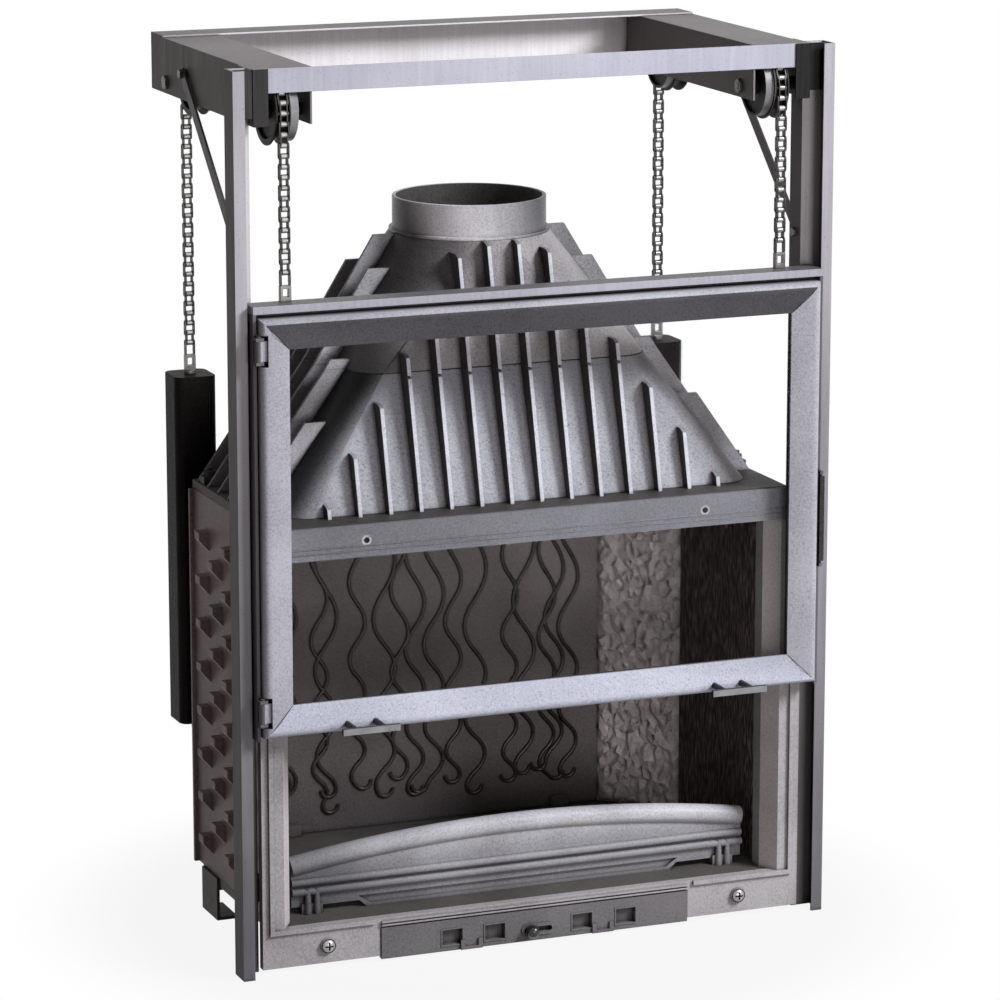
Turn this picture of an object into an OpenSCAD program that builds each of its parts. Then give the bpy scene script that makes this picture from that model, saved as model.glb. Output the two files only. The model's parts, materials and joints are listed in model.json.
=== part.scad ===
// Fireplace insert with a lift-up glass door, drawn in its own frame in millimetres.
// X runs across the front, Y runs from the front (minus) to the back (plus), Z is up from the floor.
// The door is drawn half raised, as the lift holds it.

/* [Overall] */
// Width over the two upright rails
insert_width = 800; // [740:2:860]
// Height of the rails and of the top frame
insert_height = 1142; // [1120:2:1220]
// Depth from the rails' front face to the back of the top frame
frame_depth = 420; // [400:2:450]

/* [Rails] */
// Thickness of the folded rail sheet
rail_sheet = 3; // [2:0.5:3.5]
// Width of the narrow front fold of a rail
rail_face = 15; // [12:1:16]
// Depth of a rail from its front fold to its rear fold
rail_depth = 34; // [33:1:40]
// Width of the rail's rear fold
rail_return = 30; // [29:1:32]
// Depth of the lip behind the rear fold
rail_lip = 30; // [28:1:34]

/* [Top frame] */
// Thickness of the top frame's sheet
top_sheet = 2.5; // [2:0.5:3]
// How far the top frame sits behind the rails' front face
top_setback = 13; // [12:1:14]
// Width of a top side channel
channel_width = 76; // [74:2:78]
// Height of a top side channel
channel_height = 70; // [64:2:76]
// Height of the front cross bar
front_bar_height = 30; // [24:2:32]
// Depth of the lip that the back plate folds over the channels
back_lip = 50; // [40:2:60]
// Height of the corner angles
corner_angle_height = 60; // [50:2:64]
// Width of a diagonal brace
brace_width = 16; // [12:1:18]
// Distance of the brace's upper bolt behind the rails' front face
brace_reach = 262; // [240:2:280]
// Drop of the brace's lower bolt below the rails' top
brace_drop = 246; // [230:2:260]

/* [Lift] */
// Pitch radius of a chain wheel
wheel_radius = 41; // [39:0.5:42]
// Width of a chain wheel
wheel_width = 20; // [18:1:22]
// Width of the smooth drum beside a chain wheel
drum_width = 11; // [8:1:14]
// Radius of the wheel axles
axle_radius = 5; // [4:0.5:6]
// Height of the axles below the frame's top face
axle_drop = 55; // [54:1:58]
// Height of the chain's side plates
chain_height = 8; // [6:0.5:9]
// Width over the chain's side plates
chain_width = 13; // [10:0.5:13]
// Spacing of the chain's links
chain_pitch = 12.7; // [9:0.1:13]
// How far the rear chain runs ahead of the top frame's back
chain_back_setback = 24; // [22:1:26]
// Width of a counterweight
weight_width = 56; // [50:1:58]
// Depth of a counterweight
weight_depth = 58; // [52:1:58]
// Height of a counterweight
weight_height = 465; // [430:5:480]
// Radius of a counterweight's upright corners
weight_corner = 12; // [8:1:14]
// Height of the counterweights above the floor with the door as drawn
weight_rest = 235; // [230:1:245]

/* [Door] */
// Height of the door at its closed position
door_closed = 46; // [45.5:0.5:48]
// How far the door is raised as drawn
door_lift = 271; // [262:1:280]
// Height of the door frame
door_height = 525; // [520:1:532]
// Width of a member of the door frame
door_border = 39; // [36:1:42]
// Radius of the rounding round the outside of the door frame
door_rounding = 8; // [5:1:9]
// Width of the ridge between the rounding and the frame's sloping face
door_ridge = 11; // [10:1:14]
// How far the frame's face slopes back from the ridge to the glass opening
door_slope = 8; // [4:1:9]
// Depth of the door frame
door_depth = 29; // [26:1:30]
// How far the door's face stands ahead of the rails
door_front = 24; // [24:1:27]
// Thickness of the door glass
glass_thickness = 4; // [4:1:5]
// Radius of the hinge pins
pin_radius = 3; // [2.5:0.25:3.5]
// Height of a hinge knuckle
knuckle_height = 25; // [20:1:28]
// Length of a door handle bar
handle_length = 75; // [60:1:90]
// Distance of the handles from the middle
handle_offset = 250; // [230:2:270]
// Length of the latch strip
latch_length = 117; // [100:1:130]

/* [Firebox] */
// Gap between the side of the cast firebox and the rear fold of a rail
firebox_gap = 21; // [20:1:26]
// Depth of the firebox from its front face
firebox_depth = 398; // [370:2:430]
// Height of the hearth opening's sill above the floor
sill_height = 57; // [57:1:60]
// Height of the hearth opening
opening_height = 474; // [466:1:480]
// Width of the front frame between the firebox's side and the hearth opening
frame_border = 23; // [22:1:29]
// Width of the splay at each side of the hearth opening
splay_width = 15; // [10:1:16]
// Height of the lintel strip
lintel_height = 40; // [36:1:44]
// Thickness of the cast side, corner and back walls
wall_thickness = 8; // [7:0.5:9]
// Thickness of the back wall
back_thickness = 12; // [10:1:13]
// Thickness of the side liners
liner_thickness = 7; // [6:0.5:8]
// Thickness of the hearth plate and of the deck
plate_thickness = 12; // [10:1:13]

/* [Hood] */
// Height of the lower hood casting
hood_lower_height = 166; // [150:1:176]
// Height of the upper hood casting
hood_upper_height = 155; // [145:1:170]
// Wall thickness of the hood castings
hood_wall = 8; // [6:1:9]
// Distance of the flue's centre behind the rails' front face
flue_setback = 246; // [240:1:250]
// Outer radius of the flue collar
flue_radius = 99.5; // [97:0.5:99.5]
// Height of the flue collar
flue_height = 45; // [40:1:60]
// Thickness of a cooling fin
fin_thickness = 5; // [4:0.5:6]
// How far the side fins stand out of the hood
fin_reach = 28; // [22:1:29]
// How far the front fins stand out at the hood's foot
fin_foot_reach = 14; // [10:1:20]
// How far the front fins stand out at the hood's top
fin_top_reach = 16; // [10:1:22]
// Spacing of the front fins
fin_pitch = 40.8; // [40:0.2:41]

/* [Ash drawer] */
// Width of the ash drawer's front
drawer_width = 424; // [400:2:440]
// Depth of the ash drawer's tray
drawer_depth = 290; // [260:2:300]
// Thickness of the drawer front casting
drawer_front_thickness = 8; // [7:1:9]
// Width of an air window
window_width = 27; // [24:1:28]
// Height of an air window
window_height = 20; // [16:1:20]
// Radius of the air register's ball knob
knob_radius = 8.5; // [7:0.5:9]

/* [Hidden] */
$fn = 48;

// Named clearances
running = 0.05;
sliding = 0.3;
easy = 0.5;
door_gap = 24;
guide_gap = 2.5;
weight_gap = 8;

half_width = insert_width / 2;
frame_x = half_width - rail_return;
channel_inner = frame_x - channel_width;
chain_x = frame_x - channel_width / 2;
channel_floor = insert_height - channel_height;
axle_z = insert_height - axle_drop;
front_chain_y = 13;
front_axle_y = front_chain_y + wheel_radius;
rear_chain_y = frame_depth - chain_back_setback;
rear_axle_y = rear_chain_y - wheel_radius;
wheel_rim = wheel_radius + 2.5;

door_x = half_width - door_gap;
door_z = door_closed + door_lift;
door_top = door_z + door_height;
door_back = door_depth - door_front;
glass_x = door_x - door_border;
glass_rebate = 10;
rebate_y = -12;
hinge_x = -door_x - 1;
hinge_y = -door_front + 6;
hinge_low = door_z + 33;
hinge_high = door_top - 38.5;
hinge_barrel = 5.5;
handle_z = door_z + 10;
handle_front = -door_front - 38;
handle_y = handle_front + 4;

carriage_x = half_width - 18;
carriage_front = -12;
carriage_back = 20;
carriage_z = door_top + 5;
carriage_top = carriage_z + 10;
stile_sheet = 4;
stile_back = 28;
clevis_height = 20;
carriage_lip = 8;
clevis_top = carriage_top + clevis_height;

weight_y = rear_chain_y;
weight_top = weight_rest + weight_height;
weight_stud = 12;
weight_clevis_base = weight_top + 5;
weight_clevis_top = weight_clevis_base + clevis_height;

face_y = 14;
shell_y = face_y + 12;
front_thickness = 12;
firebox_width = insert_width - 2 * rail_return - 2 * firebox_gap;
opening_width = firebox_width - 2 * frame_border;
side_x = firebox_width / 2;
side_inner = side_x - wall_thickness;
liner_inner = side_inner - liner_thickness;
back_y = face_y + firebox_depth;
back_inner = back_y - back_thickness;
side_clear = 27;
side_back = weight_y - weight_depth / 2 - side_clear;
// The outer face of a corner wall runs along x + y = corner_outer, clear of the counterweight
corner_point = chain_x - weight_width / 2 + weight_y - weight_depth / 2;
corner_outer = corner_point + weight_corner * (2 - sqrt(2)) - weight_gap * sqrt(2);
corner_inner = corner_outer - back_thickness * sqrt(2);
opening_x = opening_width / 2;
opening_top = sill_height + opening_height;
deck_top = opening_top + lintel_height + 1;
deck_z = deck_top - plate_thickness;
hearth_z = sill_height - plate_thickness;
lintel_front = door_back + 3;
reveal_depth = 33;
reveal_back = shell_y + reveal_depth;

hood_base_x = side_x - 31;
hood_top_x = hood_base_x - 118;
hood_front = 58;
hood_seam_front = 112;
hood_side_gap = 28;
hood_rear_gap = 18;
hood_seam_back = back_inner - 55;
hood_seam = deck_top + hood_lower_height;
hood_top = hood_seam + hood_upper_height;
hood_throat = flue_radius + 4.5;
collar_wall = 5;

drawer_x = drawer_width / 2;
drawer_top = door_closed - 1.5;
drawer_floor = 3;
drawer_face = face_y - 2;
register_y = drawer_face + drawer_front_thickness + sliding;
register_sheet = 2;
tray_y = register_y + register_sheet + 2;
housing_x = drawer_x - 3;
housing_sheet = 2;
tray_x = housing_x - housing_sheet - easy;
window_inset = 96;
window_x = [window_inset - drawer_x, window_inset - drawer_x + 58.5,
    drawer_x - window_inset - 52.5, drawer_x - window_inset + 8.5];
drawer_guide = drawer_x - 47;
register_half = drawer_x - 62;
window_z = 21;
register_rest = 28;
knob_x = -9;
knob_z = 18;
slot_centre = 2;
slot_half = 19;

handle_reach = -handle_front;
weight_back = weight_y + weight_depth / 2;
rearmost = max(weight_back, frame_depth, back_y);
y_mid = (rearmost - handle_reach) / 2;

cast_grey = [0.40, 0.39, 0.40];
cast_dark = [0.24, 0.23, 0.23];
sheet_light = [0.66, 0.65, 0.69];
sheet_dark = [0.30, 0.26, 0.25];
steel = [0.55, 0.54, 0.53];
black = [0.12, 0.11, 0.11];
glass_tint = [0.75, 0.80, 0.82, 0.3];

// Shared helpers

// Moves the drawing so that the origin lies under the middle of the whole insert
module placed() {
    translate([0, -y_mid, 0]) children();
}

// Turns a right-hand piece into its left-hand twin
module on_side(side) {
    mirror([side < 0 ? 1 : 0, 0, 0]) children();
}

// A block from its low corner to its high corner
module block(low, high) {
    translate(low) cube([high[0] - low[0], high[1] - low[1], high[2] - low[2]]);
}

// A round bar along X
module bar_x(radius, x0, x1, y, z) {
    translate([x0, y, z]) rotate([0, 90, 0]) cylinder(r = radius, h = x1 - x0);
}

// A round bar along Y
module bar_y(radius, y0, y1, x, z) {
    translate([x, y0, z]) rotate([-90, 0, 0]) cylinder(r = radius, h = y1 - y0);
}

// A six-sided head along X
module hex_x(radius, x0, x1, y, z) {
    translate([x0, y, z]) rotate([0, 90, 0]) cylinder(r = radius, h = x1 - x0, $fn = 6);
}

// A profile drawn as [y, z] points, with its thickness centred on x
module plate_yz(points, x, thickness) {
    translate([x - thickness / 2, 0, 0])
        rotate([90, 0, 90])
            linear_extrude(thickness) polygon(points);
}

// A profile drawn as [x, z] points, with its thickness centred on y
module plate_xz(points, y, thickness) {
    translate([0, y + thickness / 2, 0])
        rotate([90, 0, 0])
            linear_extrude(thickness) polygon(points);
}

// Rails and top frame

module rail(side) {
    on_side(side) {
        difference() {
            union() {
                block([half_width - rail_face, 0, 0], [half_width, rail_sheet, insert_height]);
                block([half_width - rail_sheet, 0, 0], [half_width, rail_depth, insert_height]);
                block([frame_x, rail_depth - rail_sheet, 0], [half_width, rail_depth, insert_height]);
                block([frame_x, rail_depth - rail_sheet, 0],
                    [frame_x + rail_sheet, rail_depth + rail_lip, insert_height]);
            }
            bar_x(3, frame_x - 1, frame_x + rail_sheet + 1, brace_foot_y, brace_foot_z);
            bar_x(axle_radius, frame_x - 1, frame_x + rail_sheet + 1, front_axle_y, axle_z);
        }
    }
}

brace_foot_y = rail_depth + rail_lip / 2;
brace_foot_z = insert_height - brace_drop;
brace_head_y = brace_reach + top_setback;
brace_head_z = insert_height - channel_height / 2;

module rail_left() {
    color(sheet_light) placed() rail(-1);
}

module rail_right() {
    color(sheet_light) placed() rail(1);
}

module channel_hole(y, z, radius) {
    bar_x(radius, channel_inner - 1, frame_x + 1, y, z);
}

module top_channel(side) {
    y0 = top_setback + top_sheet;
    y1 = frame_depth - top_sheet;
    on_side(side) {
        difference() {
            union() {
                block([channel_inner, y0, insert_height - top_sheet], [frame_x, y1, insert_height]);
                block([channel_inner, y0, channel_floor], [channel_inner + top_sheet, y1, insert_height]);
                block([frame_x - top_sheet, y0, channel_floor], [frame_x, y1, insert_height]);
            }
            channel_hole(front_axle_y, axle_z, axle_radius);
            channel_hole(rear_axle_y, axle_z, axle_radius);
            bar_x(3, frame_x - top_sheet - 1, frame_x + 1, brace_head_y, brace_head_z);
        }
    }
}

module top_channel_left() {
    color(sheet_dark) placed() top_channel(-1);
}

module top_channel_right() {
    color(sheet_dark) placed() top_channel(1);
}

module top_back_plate() {
    color(sheet_light) placed() {
        block([-frame_x, frame_depth - top_sheet, channel_floor],
            [frame_x, frame_depth, insert_height + top_sheet]);
        block([-frame_x, frame_depth - back_lip, insert_height],
            [frame_x, frame_depth, insert_height + top_sheet]);
    }
}

module top_front_bar() {
    color(sheet_light) placed() {
        block([-frame_x, top_setback, insert_height - front_bar_height],
            [frame_x, top_setback + top_sheet, insert_height]);
        for (side = [-1, 1])
            on_side(side)
                block([frame_x - 12, top_setback, channel_floor],
                    [frame_x, top_setback + top_sheet, insert_height]);
    }
}

angle_cover = 19;

module corner_angles() {
    z0 = insert_height - corner_angle_height;
    color(sheet_dark) placed()
        for (side = [-1, 1])
            on_side(side) {
                block([frame_x, top_setback, z0], [half_width - rail_sheet, top_setback + 3, insert_height]);
                block([frame_x, top_setback, z0],
                    [frame_x + 3, rail_depth - rail_sheet, insert_height]);
                block([frame_x - angle_cover, top_setback - 2, channel_floor],
                    [frame_x + 1, top_setback, insert_height]);
            }
}

brace_run = brace_head_y - brace_foot_y;
brace_rise = brace_head_z - brace_foot_z;
brace_length = sqrt(brace_run * brace_run + brace_rise * brace_rise);
brace_angle = atan2(brace_rise, brace_run);
brace_sheet = 3;
brace_x = frame_x + rail_sheet;

module brace(side) {
    on_side(side)
        difference() {
            translate([brace_x, brace_foot_y, brace_foot_z])
                rotate([brace_angle, 0, 0]) {
                    translate([0, 0, -brace_width / 2])
                        cube([brace_sheet, brace_length, brace_width]);
                    rotate([0, 90, 0]) cylinder(r = brace_width / 2, h = brace_sheet);
                    translate([0, brace_length, 0])
                        rotate([0, 90, 0]) cylinder(r = brace_width / 2, h = brace_sheet);
                }
            bar_x(3, brace_x - 1, brace_x + brace_sheet + 1, brace_foot_y, brace_foot_z);
            bar_x(3, brace_x - 1, brace_x + brace_sheet + 1, brace_head_y, brace_head_z);
        }
}

module brace_left() {
    color(sheet_light) placed() brace(-1);
}

module brace_right() {
    color(sheet_light) placed() brace(1);
}

module brace_bolts() {
    outer = brace_x + brace_sheet;
    color(steel) placed()
        for (side = [-1, 1])
            on_side(side) {
                bar_x(3, frame_x, outer, brace_foot_y, brace_foot_z);
                hex_x(6, frame_x - 4, frame_x, brace_foot_y, brace_foot_z);
                hex_x(6, outer, outer + 4, brace_foot_y, brace_foot_z);
                bar_x(3, frame_x - top_sheet, outer, brace_head_y, brace_head_z);
                bar_x(6, frame_x, brace_x, brace_head_y, brace_head_z);
                hex_x(6, frame_x - top_sheet - 4, frame_x - top_sheet, brace_head_y, brace_head_z);
                hex_x(6, outer, outer + 4, brace_head_y, brace_head_z);
            }
}

// Chain wheels, axles and chains

module wheel_axles() {
    color(steel) placed()
        for (side = [-1, 1], axle = [[front_axle_y, frame_x + rail_sheet], [rear_axle_y, frame_x]])
            on_side(side) {
                bar_x(axle_radius, channel_inner - 6, axle[1], axle[0], axle_z);
                hex_x(axle_radius + 4, axle[1], axle[1] + 5, axle[0], axle_z);
                hex_x(axle_radius + 4, channel_inner - 5, channel_inner, axle[0], axle_z);
            }
}

module sleeve(x0, x1, y) {
    difference() {
        bar_x(axle_radius + 3, x0, x1, y, axle_z);
        bar_x(axle_radius, x0 - 1, x1 + 1, y, axle_z);
    }
}

module axle_sleeves() {
    color(cast_dark) placed()
        for (side = [-1, 1], y = [front_axle_y, rear_axle_y])
            on_side(side) {
                sleeve(channel_inner + top_sheet, chain_x - wheel_width / 2 - drum_width - sliding, y);
                sleeve(chain_x + wheel_width / 2 + sliding, frame_x - top_sheet, y);
            }
}

groove_width = chain_width + 2;
groove_radius = wheel_radius - chain_height / 2 - sliding;

module wheel(side, y) {
    on_side(side)
        translate([chain_x, y, axle_z])
            rotate([0, 90, 0])
                difference() {
                    union() {
                        cylinder(r = wheel_rim, h = wheel_width, center = true, $fn = 96);
                        translate([0, 0, -wheel_width / 2 - drum_width])
                            cylinder(r = wheel_rim - 4, h = drum_width + 1, $fn = 96);
                    }
                    difference() {
                        cylinder(r = wheel_rim + 1, h = groove_width, center = true, $fn = 96);
                        cylinder(r = groove_radius, h = groove_width + 1, center = true, $fn = 96);
                    }
                    for (end = [-wheel_width / 2 - drum_width, wheel_width / 2])
                        translate([0, 0, end])
                            difference() {
                                cylinder(r = wheel_rim - 8, h = 8, center = true);
                                cylinder(r = axle_radius + 7, h = 9, center = true);
                            }
                    cylinder(r = axle_radius + running, h = 2 * wheel_width + 2 * drum_width, center = true);
                }
}

module wheel_front_left() {
    color(steel) placed() wheel(-1, front_axle_y);
}

module wheel_front_right() {
    color(steel) placed() wheel(1, front_axle_y);
}

module wheel_rear_left() {
    color(steel) placed() wheel(-1, rear_axle_y);
}

module wheel_rear_right() {
    color(steel) placed() wheel(1, rear_axle_y);
}

// A hanging length of chain: side plates with a window between every two rollers
module chain_run(side, y, z0, z1) {
    count = floor((z1 - z0) / chain_pitch);
    on_side(side)
        translate([chain_x, y, 0])
            difference() {
                block([-chain_width / 2, -chain_height / 2, z0], [chain_width / 2, chain_height / 2, z1]);
                for (i = [0:count - 1])
                    translate([0, 0, z1 - (i + 0.5) * chain_pitch])
                        cube([chain_width - 6, chain_height + 2, chain_pitch * 0.55], center = true);
            }
}

module chain_front_left() {
    color(cast_dark) placed() chain_run(-1, front_chain_y, clevis_top, axle_z);
}

module chain_front_right() {
    color(cast_dark) placed() chain_run(1, front_chain_y, clevis_top, axle_z);
}

module chain_rear_left() {
    color(cast_dark) placed() chain_run(-1, rear_chain_y, weight_clevis_top, axle_z);
}

module chain_rear_right() {
    color(cast_dark) placed() chain_run(1, rear_chain_y, weight_clevis_top, axle_z);
}

// The chain's bend over a wheel, a quarter turn from the hanging run to the top run
module chain_bend(y, back) {
    translate([0, y, axle_z])
        mirror([0, back ? 1 : 0, 0])
            rotate([90, 0, -90])
                rotate_extrude(angle = 90, $fn = 96)
                    translate([wheel_radius - chain_height / 2, -chain_width / 2])
                        square([chain_height, chain_width]);
}

module chain_top(side) {
    z = axle_z + wheel_radius;
    on_side(side)
        translate([chain_x, 0, 0]) {
            chain_bend(front_axle_y, false);
            chain_bend(rear_axle_y, true);
            block([-chain_width / 2, front_axle_y, z - chain_height / 2],
                [chain_width / 2, rear_axle_y, z + chain_height / 2]);
        }
}

module chain_top_left() {
    color(cast_dark) placed() chain_top(-1);
}

module chain_top_right() {
    color(cast_dark) placed() chain_top(1);
}

module clevis(x, y, z) {
    width = chain_width + 1;
    difference() {
        block([x - width / 2, y - 4, z], [x + width / 2, y + 4, z + clevis_height]);
        block([x - width / 2 + 3, y - 5, z + 6], [x + width / 2 - 3, y + 5, z + clevis_height - 4]);
    }
}

module weight(side) {
    x0 = chain_x - weight_width / 2;
    x1 = chain_x + weight_width / 2;
    y0 = weight_y - weight_depth / 2;
    y1 = weight_y + weight_depth / 2;
    r = weight_corner;
    on_side(side) {
        translate([0, 0, weight_rest])
            linear_extrude(weight_height)
                union() {
                    translate([x0 + r, y0]) square([weight_width - 2 * r, weight_depth]);
                    translate([x0, y0 + r]) square([weight_width, weight_depth - 2 * r]);
                    for (x = [x0 + r, x1 - r], y = [y0 + r, y1 - r])
                        translate([x, y]) circle(r = r);
                }
        translate([chain_x, weight_y, weight_rest - weight_stud]) cylinder(r = 5, h = weight_stud);
        translate([chain_x, weight_y, weight_rest - 5]) cylinder(r = 9, h = 5, $fn = 6);
    }
}

module counterweight_left() {
    color(black) placed() weight(-1);
}

module counterweight_right() {
    color(black) placed() weight(1);
}

module weight_clevis(side) {
    on_side(side) {
        translate([chain_x, weight_y, weight_top]) cylinder(r = 8, h = 5, $fn = 6);
        clevis(chain_x, weight_y, weight_clevis_base);
    }
}

module weight_clevis_left() {
    color(black) placed() weight_clevis(-1);
}

module weight_clevis_right() {
    color(black) placed() weight_clevis(1);
}

// Carriage that the door rides on

module carriage_bar() {
    color(sheet_light) placed()
        union() {
            block([-carriage_x, carriage_front, carriage_z], [carriage_x, carriage_back, carriage_top]);
            block([-door_x, door_back + sliding, door_top - carriage_lip],
                [door_x, lintel_front - sliding, carriage_z + 1]);
        }
}

module hinge_lug(z) {
    block([-carriage_x, hinge_y - 5, z], [hinge_x + 5, carriage_front, z + 4]);
}

latch_x = carriage_x - 1.7;
latch_y = -20;
latch_z = door_z + door_height * 0.3;

module latch_lug(z) {
    block([carriage_x - stile_sheet, latch_y - 2, z], [carriage_x, carriage_front, z + 4]);
}

module carriage_stiles() {
    z0 = door_z - 5;
    color(sheet_light) placed()
        difference() {
            union() {
                for (side = [-1, 1])
                    on_side(side)
                        block([carriage_x - stile_sheet, carriage_front, z0],
                            [carriage_x, stile_back, carriage_z]);
                for (z = [hinge_low, hinge_high]) {
                    hinge_lug(z - knuckle_height / 2 - sliding - 4);
                    hinge_lug(z + knuckle_height / 2 + sliding);
                }
                latch_lug(latch_z - 4 - sliding);
                latch_lug(latch_z + latch_length + sliding);
            }
            for (z = [hinge_low, hinge_high])
                translate([hinge_x, hinge_y, z - knuckle_height])
                    cylinder(r = pin_radius, h = 2 * knuckle_height);
            translate([latch_x, latch_y + 2, latch_z - 10])
                cylinder(r = 1.2, h = latch_length + 20);
        }
}

module guide_shoes() {
    x0 = carriage_x;
    x1 = half_width - rail_sheet - sliding;
    y0 = rail_sheet + sliding;
    y1 = rail_depth - rail_sheet - sliding;
    color(cast_dark) placed()
        for (side = [-1, 1], z = [door_z + 5, door_top - 65])
            on_side(side)
                block([x0, y0, z], [x1, min(y1, stile_back), z + 60]);
}

module carriage_clevises() {
    color(sheet_light) placed()
        for (side = [-1, 1])
            on_side(side)
                clevis(chain_x, front_chain_y, carriage_top);
}

module hinge_pins() {
    color(steel) placed()
        for (z = [hinge_low, hinge_high])
            translate([hinge_x, hinge_y, z - knuckle_height / 2 - 6])
                cylinder(r = pin_radius, h = knuckle_height + 12);
}

// Door

// What the rounding takes off one outer edge: a square less a quarter circle
module rounding_profile() {
    r = door_rounding;
    difference() {
        translate([-r, -1]) square([r + 1, r + 1]);
        translate([-r, r]) circle(r = r);
    }
}

module rounding_upright(side) {
    on_side(side)
        translate([door_x, -door_front, door_z - 1])
            linear_extrude(door_height + 2) rounding_profile();
}

module rounding_level(z, up) {
    translate([-door_x - 1, -door_front, z])
        rotate([0, 90, 0])
            linear_extrude(2 * door_x + 2)
                mirror([up ? 1 : 0, 0]) rounding_profile();
}

// The pocket whose four sides are the sloping faces of the frame, mitred at its corners
module frame_slopes() {
    run = door_border - door_ridge;
    lean = run / door_slope;
    x = glass_x + run + lean;
    z = door_height / 2 - door_ridge + lean;
    intersection() {
        translate([0, -door_front, door_z])
            linear_extrude(door_height)
                polygon([[-x, -1], [x, -1], [glass_x, door_slope], [-glass_x, door_slope]]);
        translate([-door_x, -door_front, door_z + door_height / 2])
            rotate([90, 0, 90])
                linear_extrude(2 * door_x)
                    polygon([[-1, -z], [-1, z], [door_slope, z - lean - run],
                        [door_slope, run + lean - z]]);
    }
}

module door_knuckle(z) {
    difference() {
        union() {
            translate([hinge_x, hinge_y, z - knuckle_height / 2])
                cylinder(r = hinge_barrel, h = knuckle_height);
            block([hinge_x, hinge_y - 3, z - knuckle_height / 2],
                [hinge_x + 14, hinge_y + 3, z + knuckle_height / 2]);
        }
        translate([hinge_x, hinge_y, z - knuckle_height])
            cylinder(r = pin_radius + running, h = 2 * knuckle_height);
    }
}

gasket_radius = 3;
gasket_x = glass_x + glass_rebate + 5;

module ring_xz(x, z0, z1, width, y0, y1) {
    difference() {
        block([-x, y0, z0], [x, y1, z1]);
        block([-x + width, y0 - 1, z0 + width], [x - width, y1 + 1, z1 - width]);
    }
}

module door_frame() {
    inner = door_border;
    z_low = door_z + inner;
    z_high = door_top - inner;
    color(cast_grey) placed() {
        difference() {
            block([-door_x, -door_front, door_z], [door_x, door_back, door_top]);
            block([-glass_x, -door_front - 1, z_low], [glass_x, door_back + 1, z_high]);
            block([-glass_x - glass_rebate, rebate_y, z_low - glass_rebate],
                [glass_x + glass_rebate, door_back + 1, z_high + glass_rebate]);
            ring_xz(gasket_x + 6, z_low - glass_rebate - 11, z_high + glass_rebate + 11, 6,
                door_back - 5, door_back + 1);
            frame_slopes();
            rounding_upright(1);
            rounding_upright(-1);
            rounding_level(door_top, true);
            rounding_level(door_z, false);
            for (z = [hinge_low, hinge_high])
                translate([hinge_x, hinge_y, z - knuckle_height / 2 - 7])
                    cylinder(r = 12, h = knuckle_height + 14);
            for (side = [-1, 1], x = [-handle_length / 4, handle_length / 4])
                bar_y(4, -door_front - 1, -door_front + 8, side * handle_offset + x, handle_z);
        }
        for (z = [hinge_low, hinge_high]) door_knuckle(z);
    }
}

module door_glass() {
    x = glass_x + glass_rebate - easy;
    color(glass_tint) placed()
        block([-x, rebate_y, door_z + door_border - glass_rebate + easy],
            [x, rebate_y + glass_thickness, door_top - door_border + glass_rebate - easy]);
}

module glass_retainer() {
    x = glass_x + glass_rebate;
    z0 = door_z + door_border - glass_rebate;
    z1 = door_top - door_border + glass_rebate;
    y0 = rebate_y + glass_thickness;
    color(sheet_dark) placed() {
        ring_xz(x, z0, z1, 9, y0, y0 + 3);
        for (side = [-1, 1], z = [z0 + 60, (z0 + z1) / 2, z1 - 60])
            bar_y(3, y0 + 3, y0 + 6, side * (x - 4.5), z);
        for (x2 = [-220, 0, 220], z = [z0 + 4.5, z1 - 4.5])
            bar_y(3, y0 + 3, y0 + 6, x2, z);
    }
}

module door_gasket() {
    z0 = door_z + door_border - glass_rebate - 11;
    z1 = door_top - door_border + glass_rebate + 11;
    color([0.2, 0.2, 0.2]) placed()
        ring_xz(gasket_x + 6, z0, z1, 6, door_back - 5, door_back + 1);
}

module door_handles() {
    color(cast_grey) placed()
        for (side = [-1, 1]) {
            x = side * handle_offset;
            block([x - handle_length / 2, handle_front, handle_z - 4],
                [x + handle_length / 2, handle_front + 6, handle_z + 4]);
            for (dx = [-handle_length / 4, handle_length / 4])
                bar_y(4, handle_front + 6, -door_front + 8, x + dx, handle_z);
        }
}

module door_latch() {
    color(sheet_light) placed() {
        block([latch_x - 2.2, latch_y - 1.2, latch_z + 3],
            [latch_x + 4.2, latch_y + 3.6, latch_z + latch_length - 3]);
        translate([latch_x, latch_y + 2, latch_z - 4])
            cylinder(r = 1.15, h = latch_length + 8);
        translate([latch_x, latch_y + 2, latch_z]) cylinder(r = 2.2, h = latch_length);
    }
}

// Firebox

module front_frame() {
    x = frame_x;
    z0 = 7;
    color(cast_grey) placed()
        difference() {
            union() {
                difference() {
                    block([-x, face_y, z0], [x, shell_y, deck_z]);
                    block([-opening_x, face_y - 1, sill_height], [opening_x, shell_y + 1, opening_top]);
                }
                for (side = [-1, 1])
                    on_side(side) {
                        block([opening_x, shell_y, sill_height], [side_inner, reveal_back, deck_z]);
                        block([x - 15, face_y - 4, hearth_z + 6],
                            [x - 9, face_y, lintel_z0]);
                        block([drawer_x + 8, face_y - 4, sill_height - 6],
                            [x - 9, face_y, sill_height]);
                    }
                for (z = [drawer_top + 2.5, drawer_top + 6.5])
                    block([-drawer_x, face_y - 4, z], [drawer_x, face_y, z + 2]);
            }
            block([-drawer_x - 1, face_y - 5, -1], [drawer_x + 1, shell_y + 1, drawer_top + 0.5]);
            for (side = [-1, 1]) {
                on_side(side)
                    translate([0, 0, sill_height])
                        linear_extrude(opening_top - sill_height)
                            polygon([[opening_x - 1, face_y - 1],
                                [opening_x + splay_width + splay_width / splay_depth, face_y - 1],
                                [opening_x - 1, face_y + splay_depth + splay_depth / splay_width]]);
                bar_y(4, face_y - 5, shell_y + 1, side * front_screw_x, front_screw_z);
                bar_y(2.5, face_y - 5, shell_y - 2, side * lintel_screw_x, lintel_screw_z);
            }
        }
}

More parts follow.
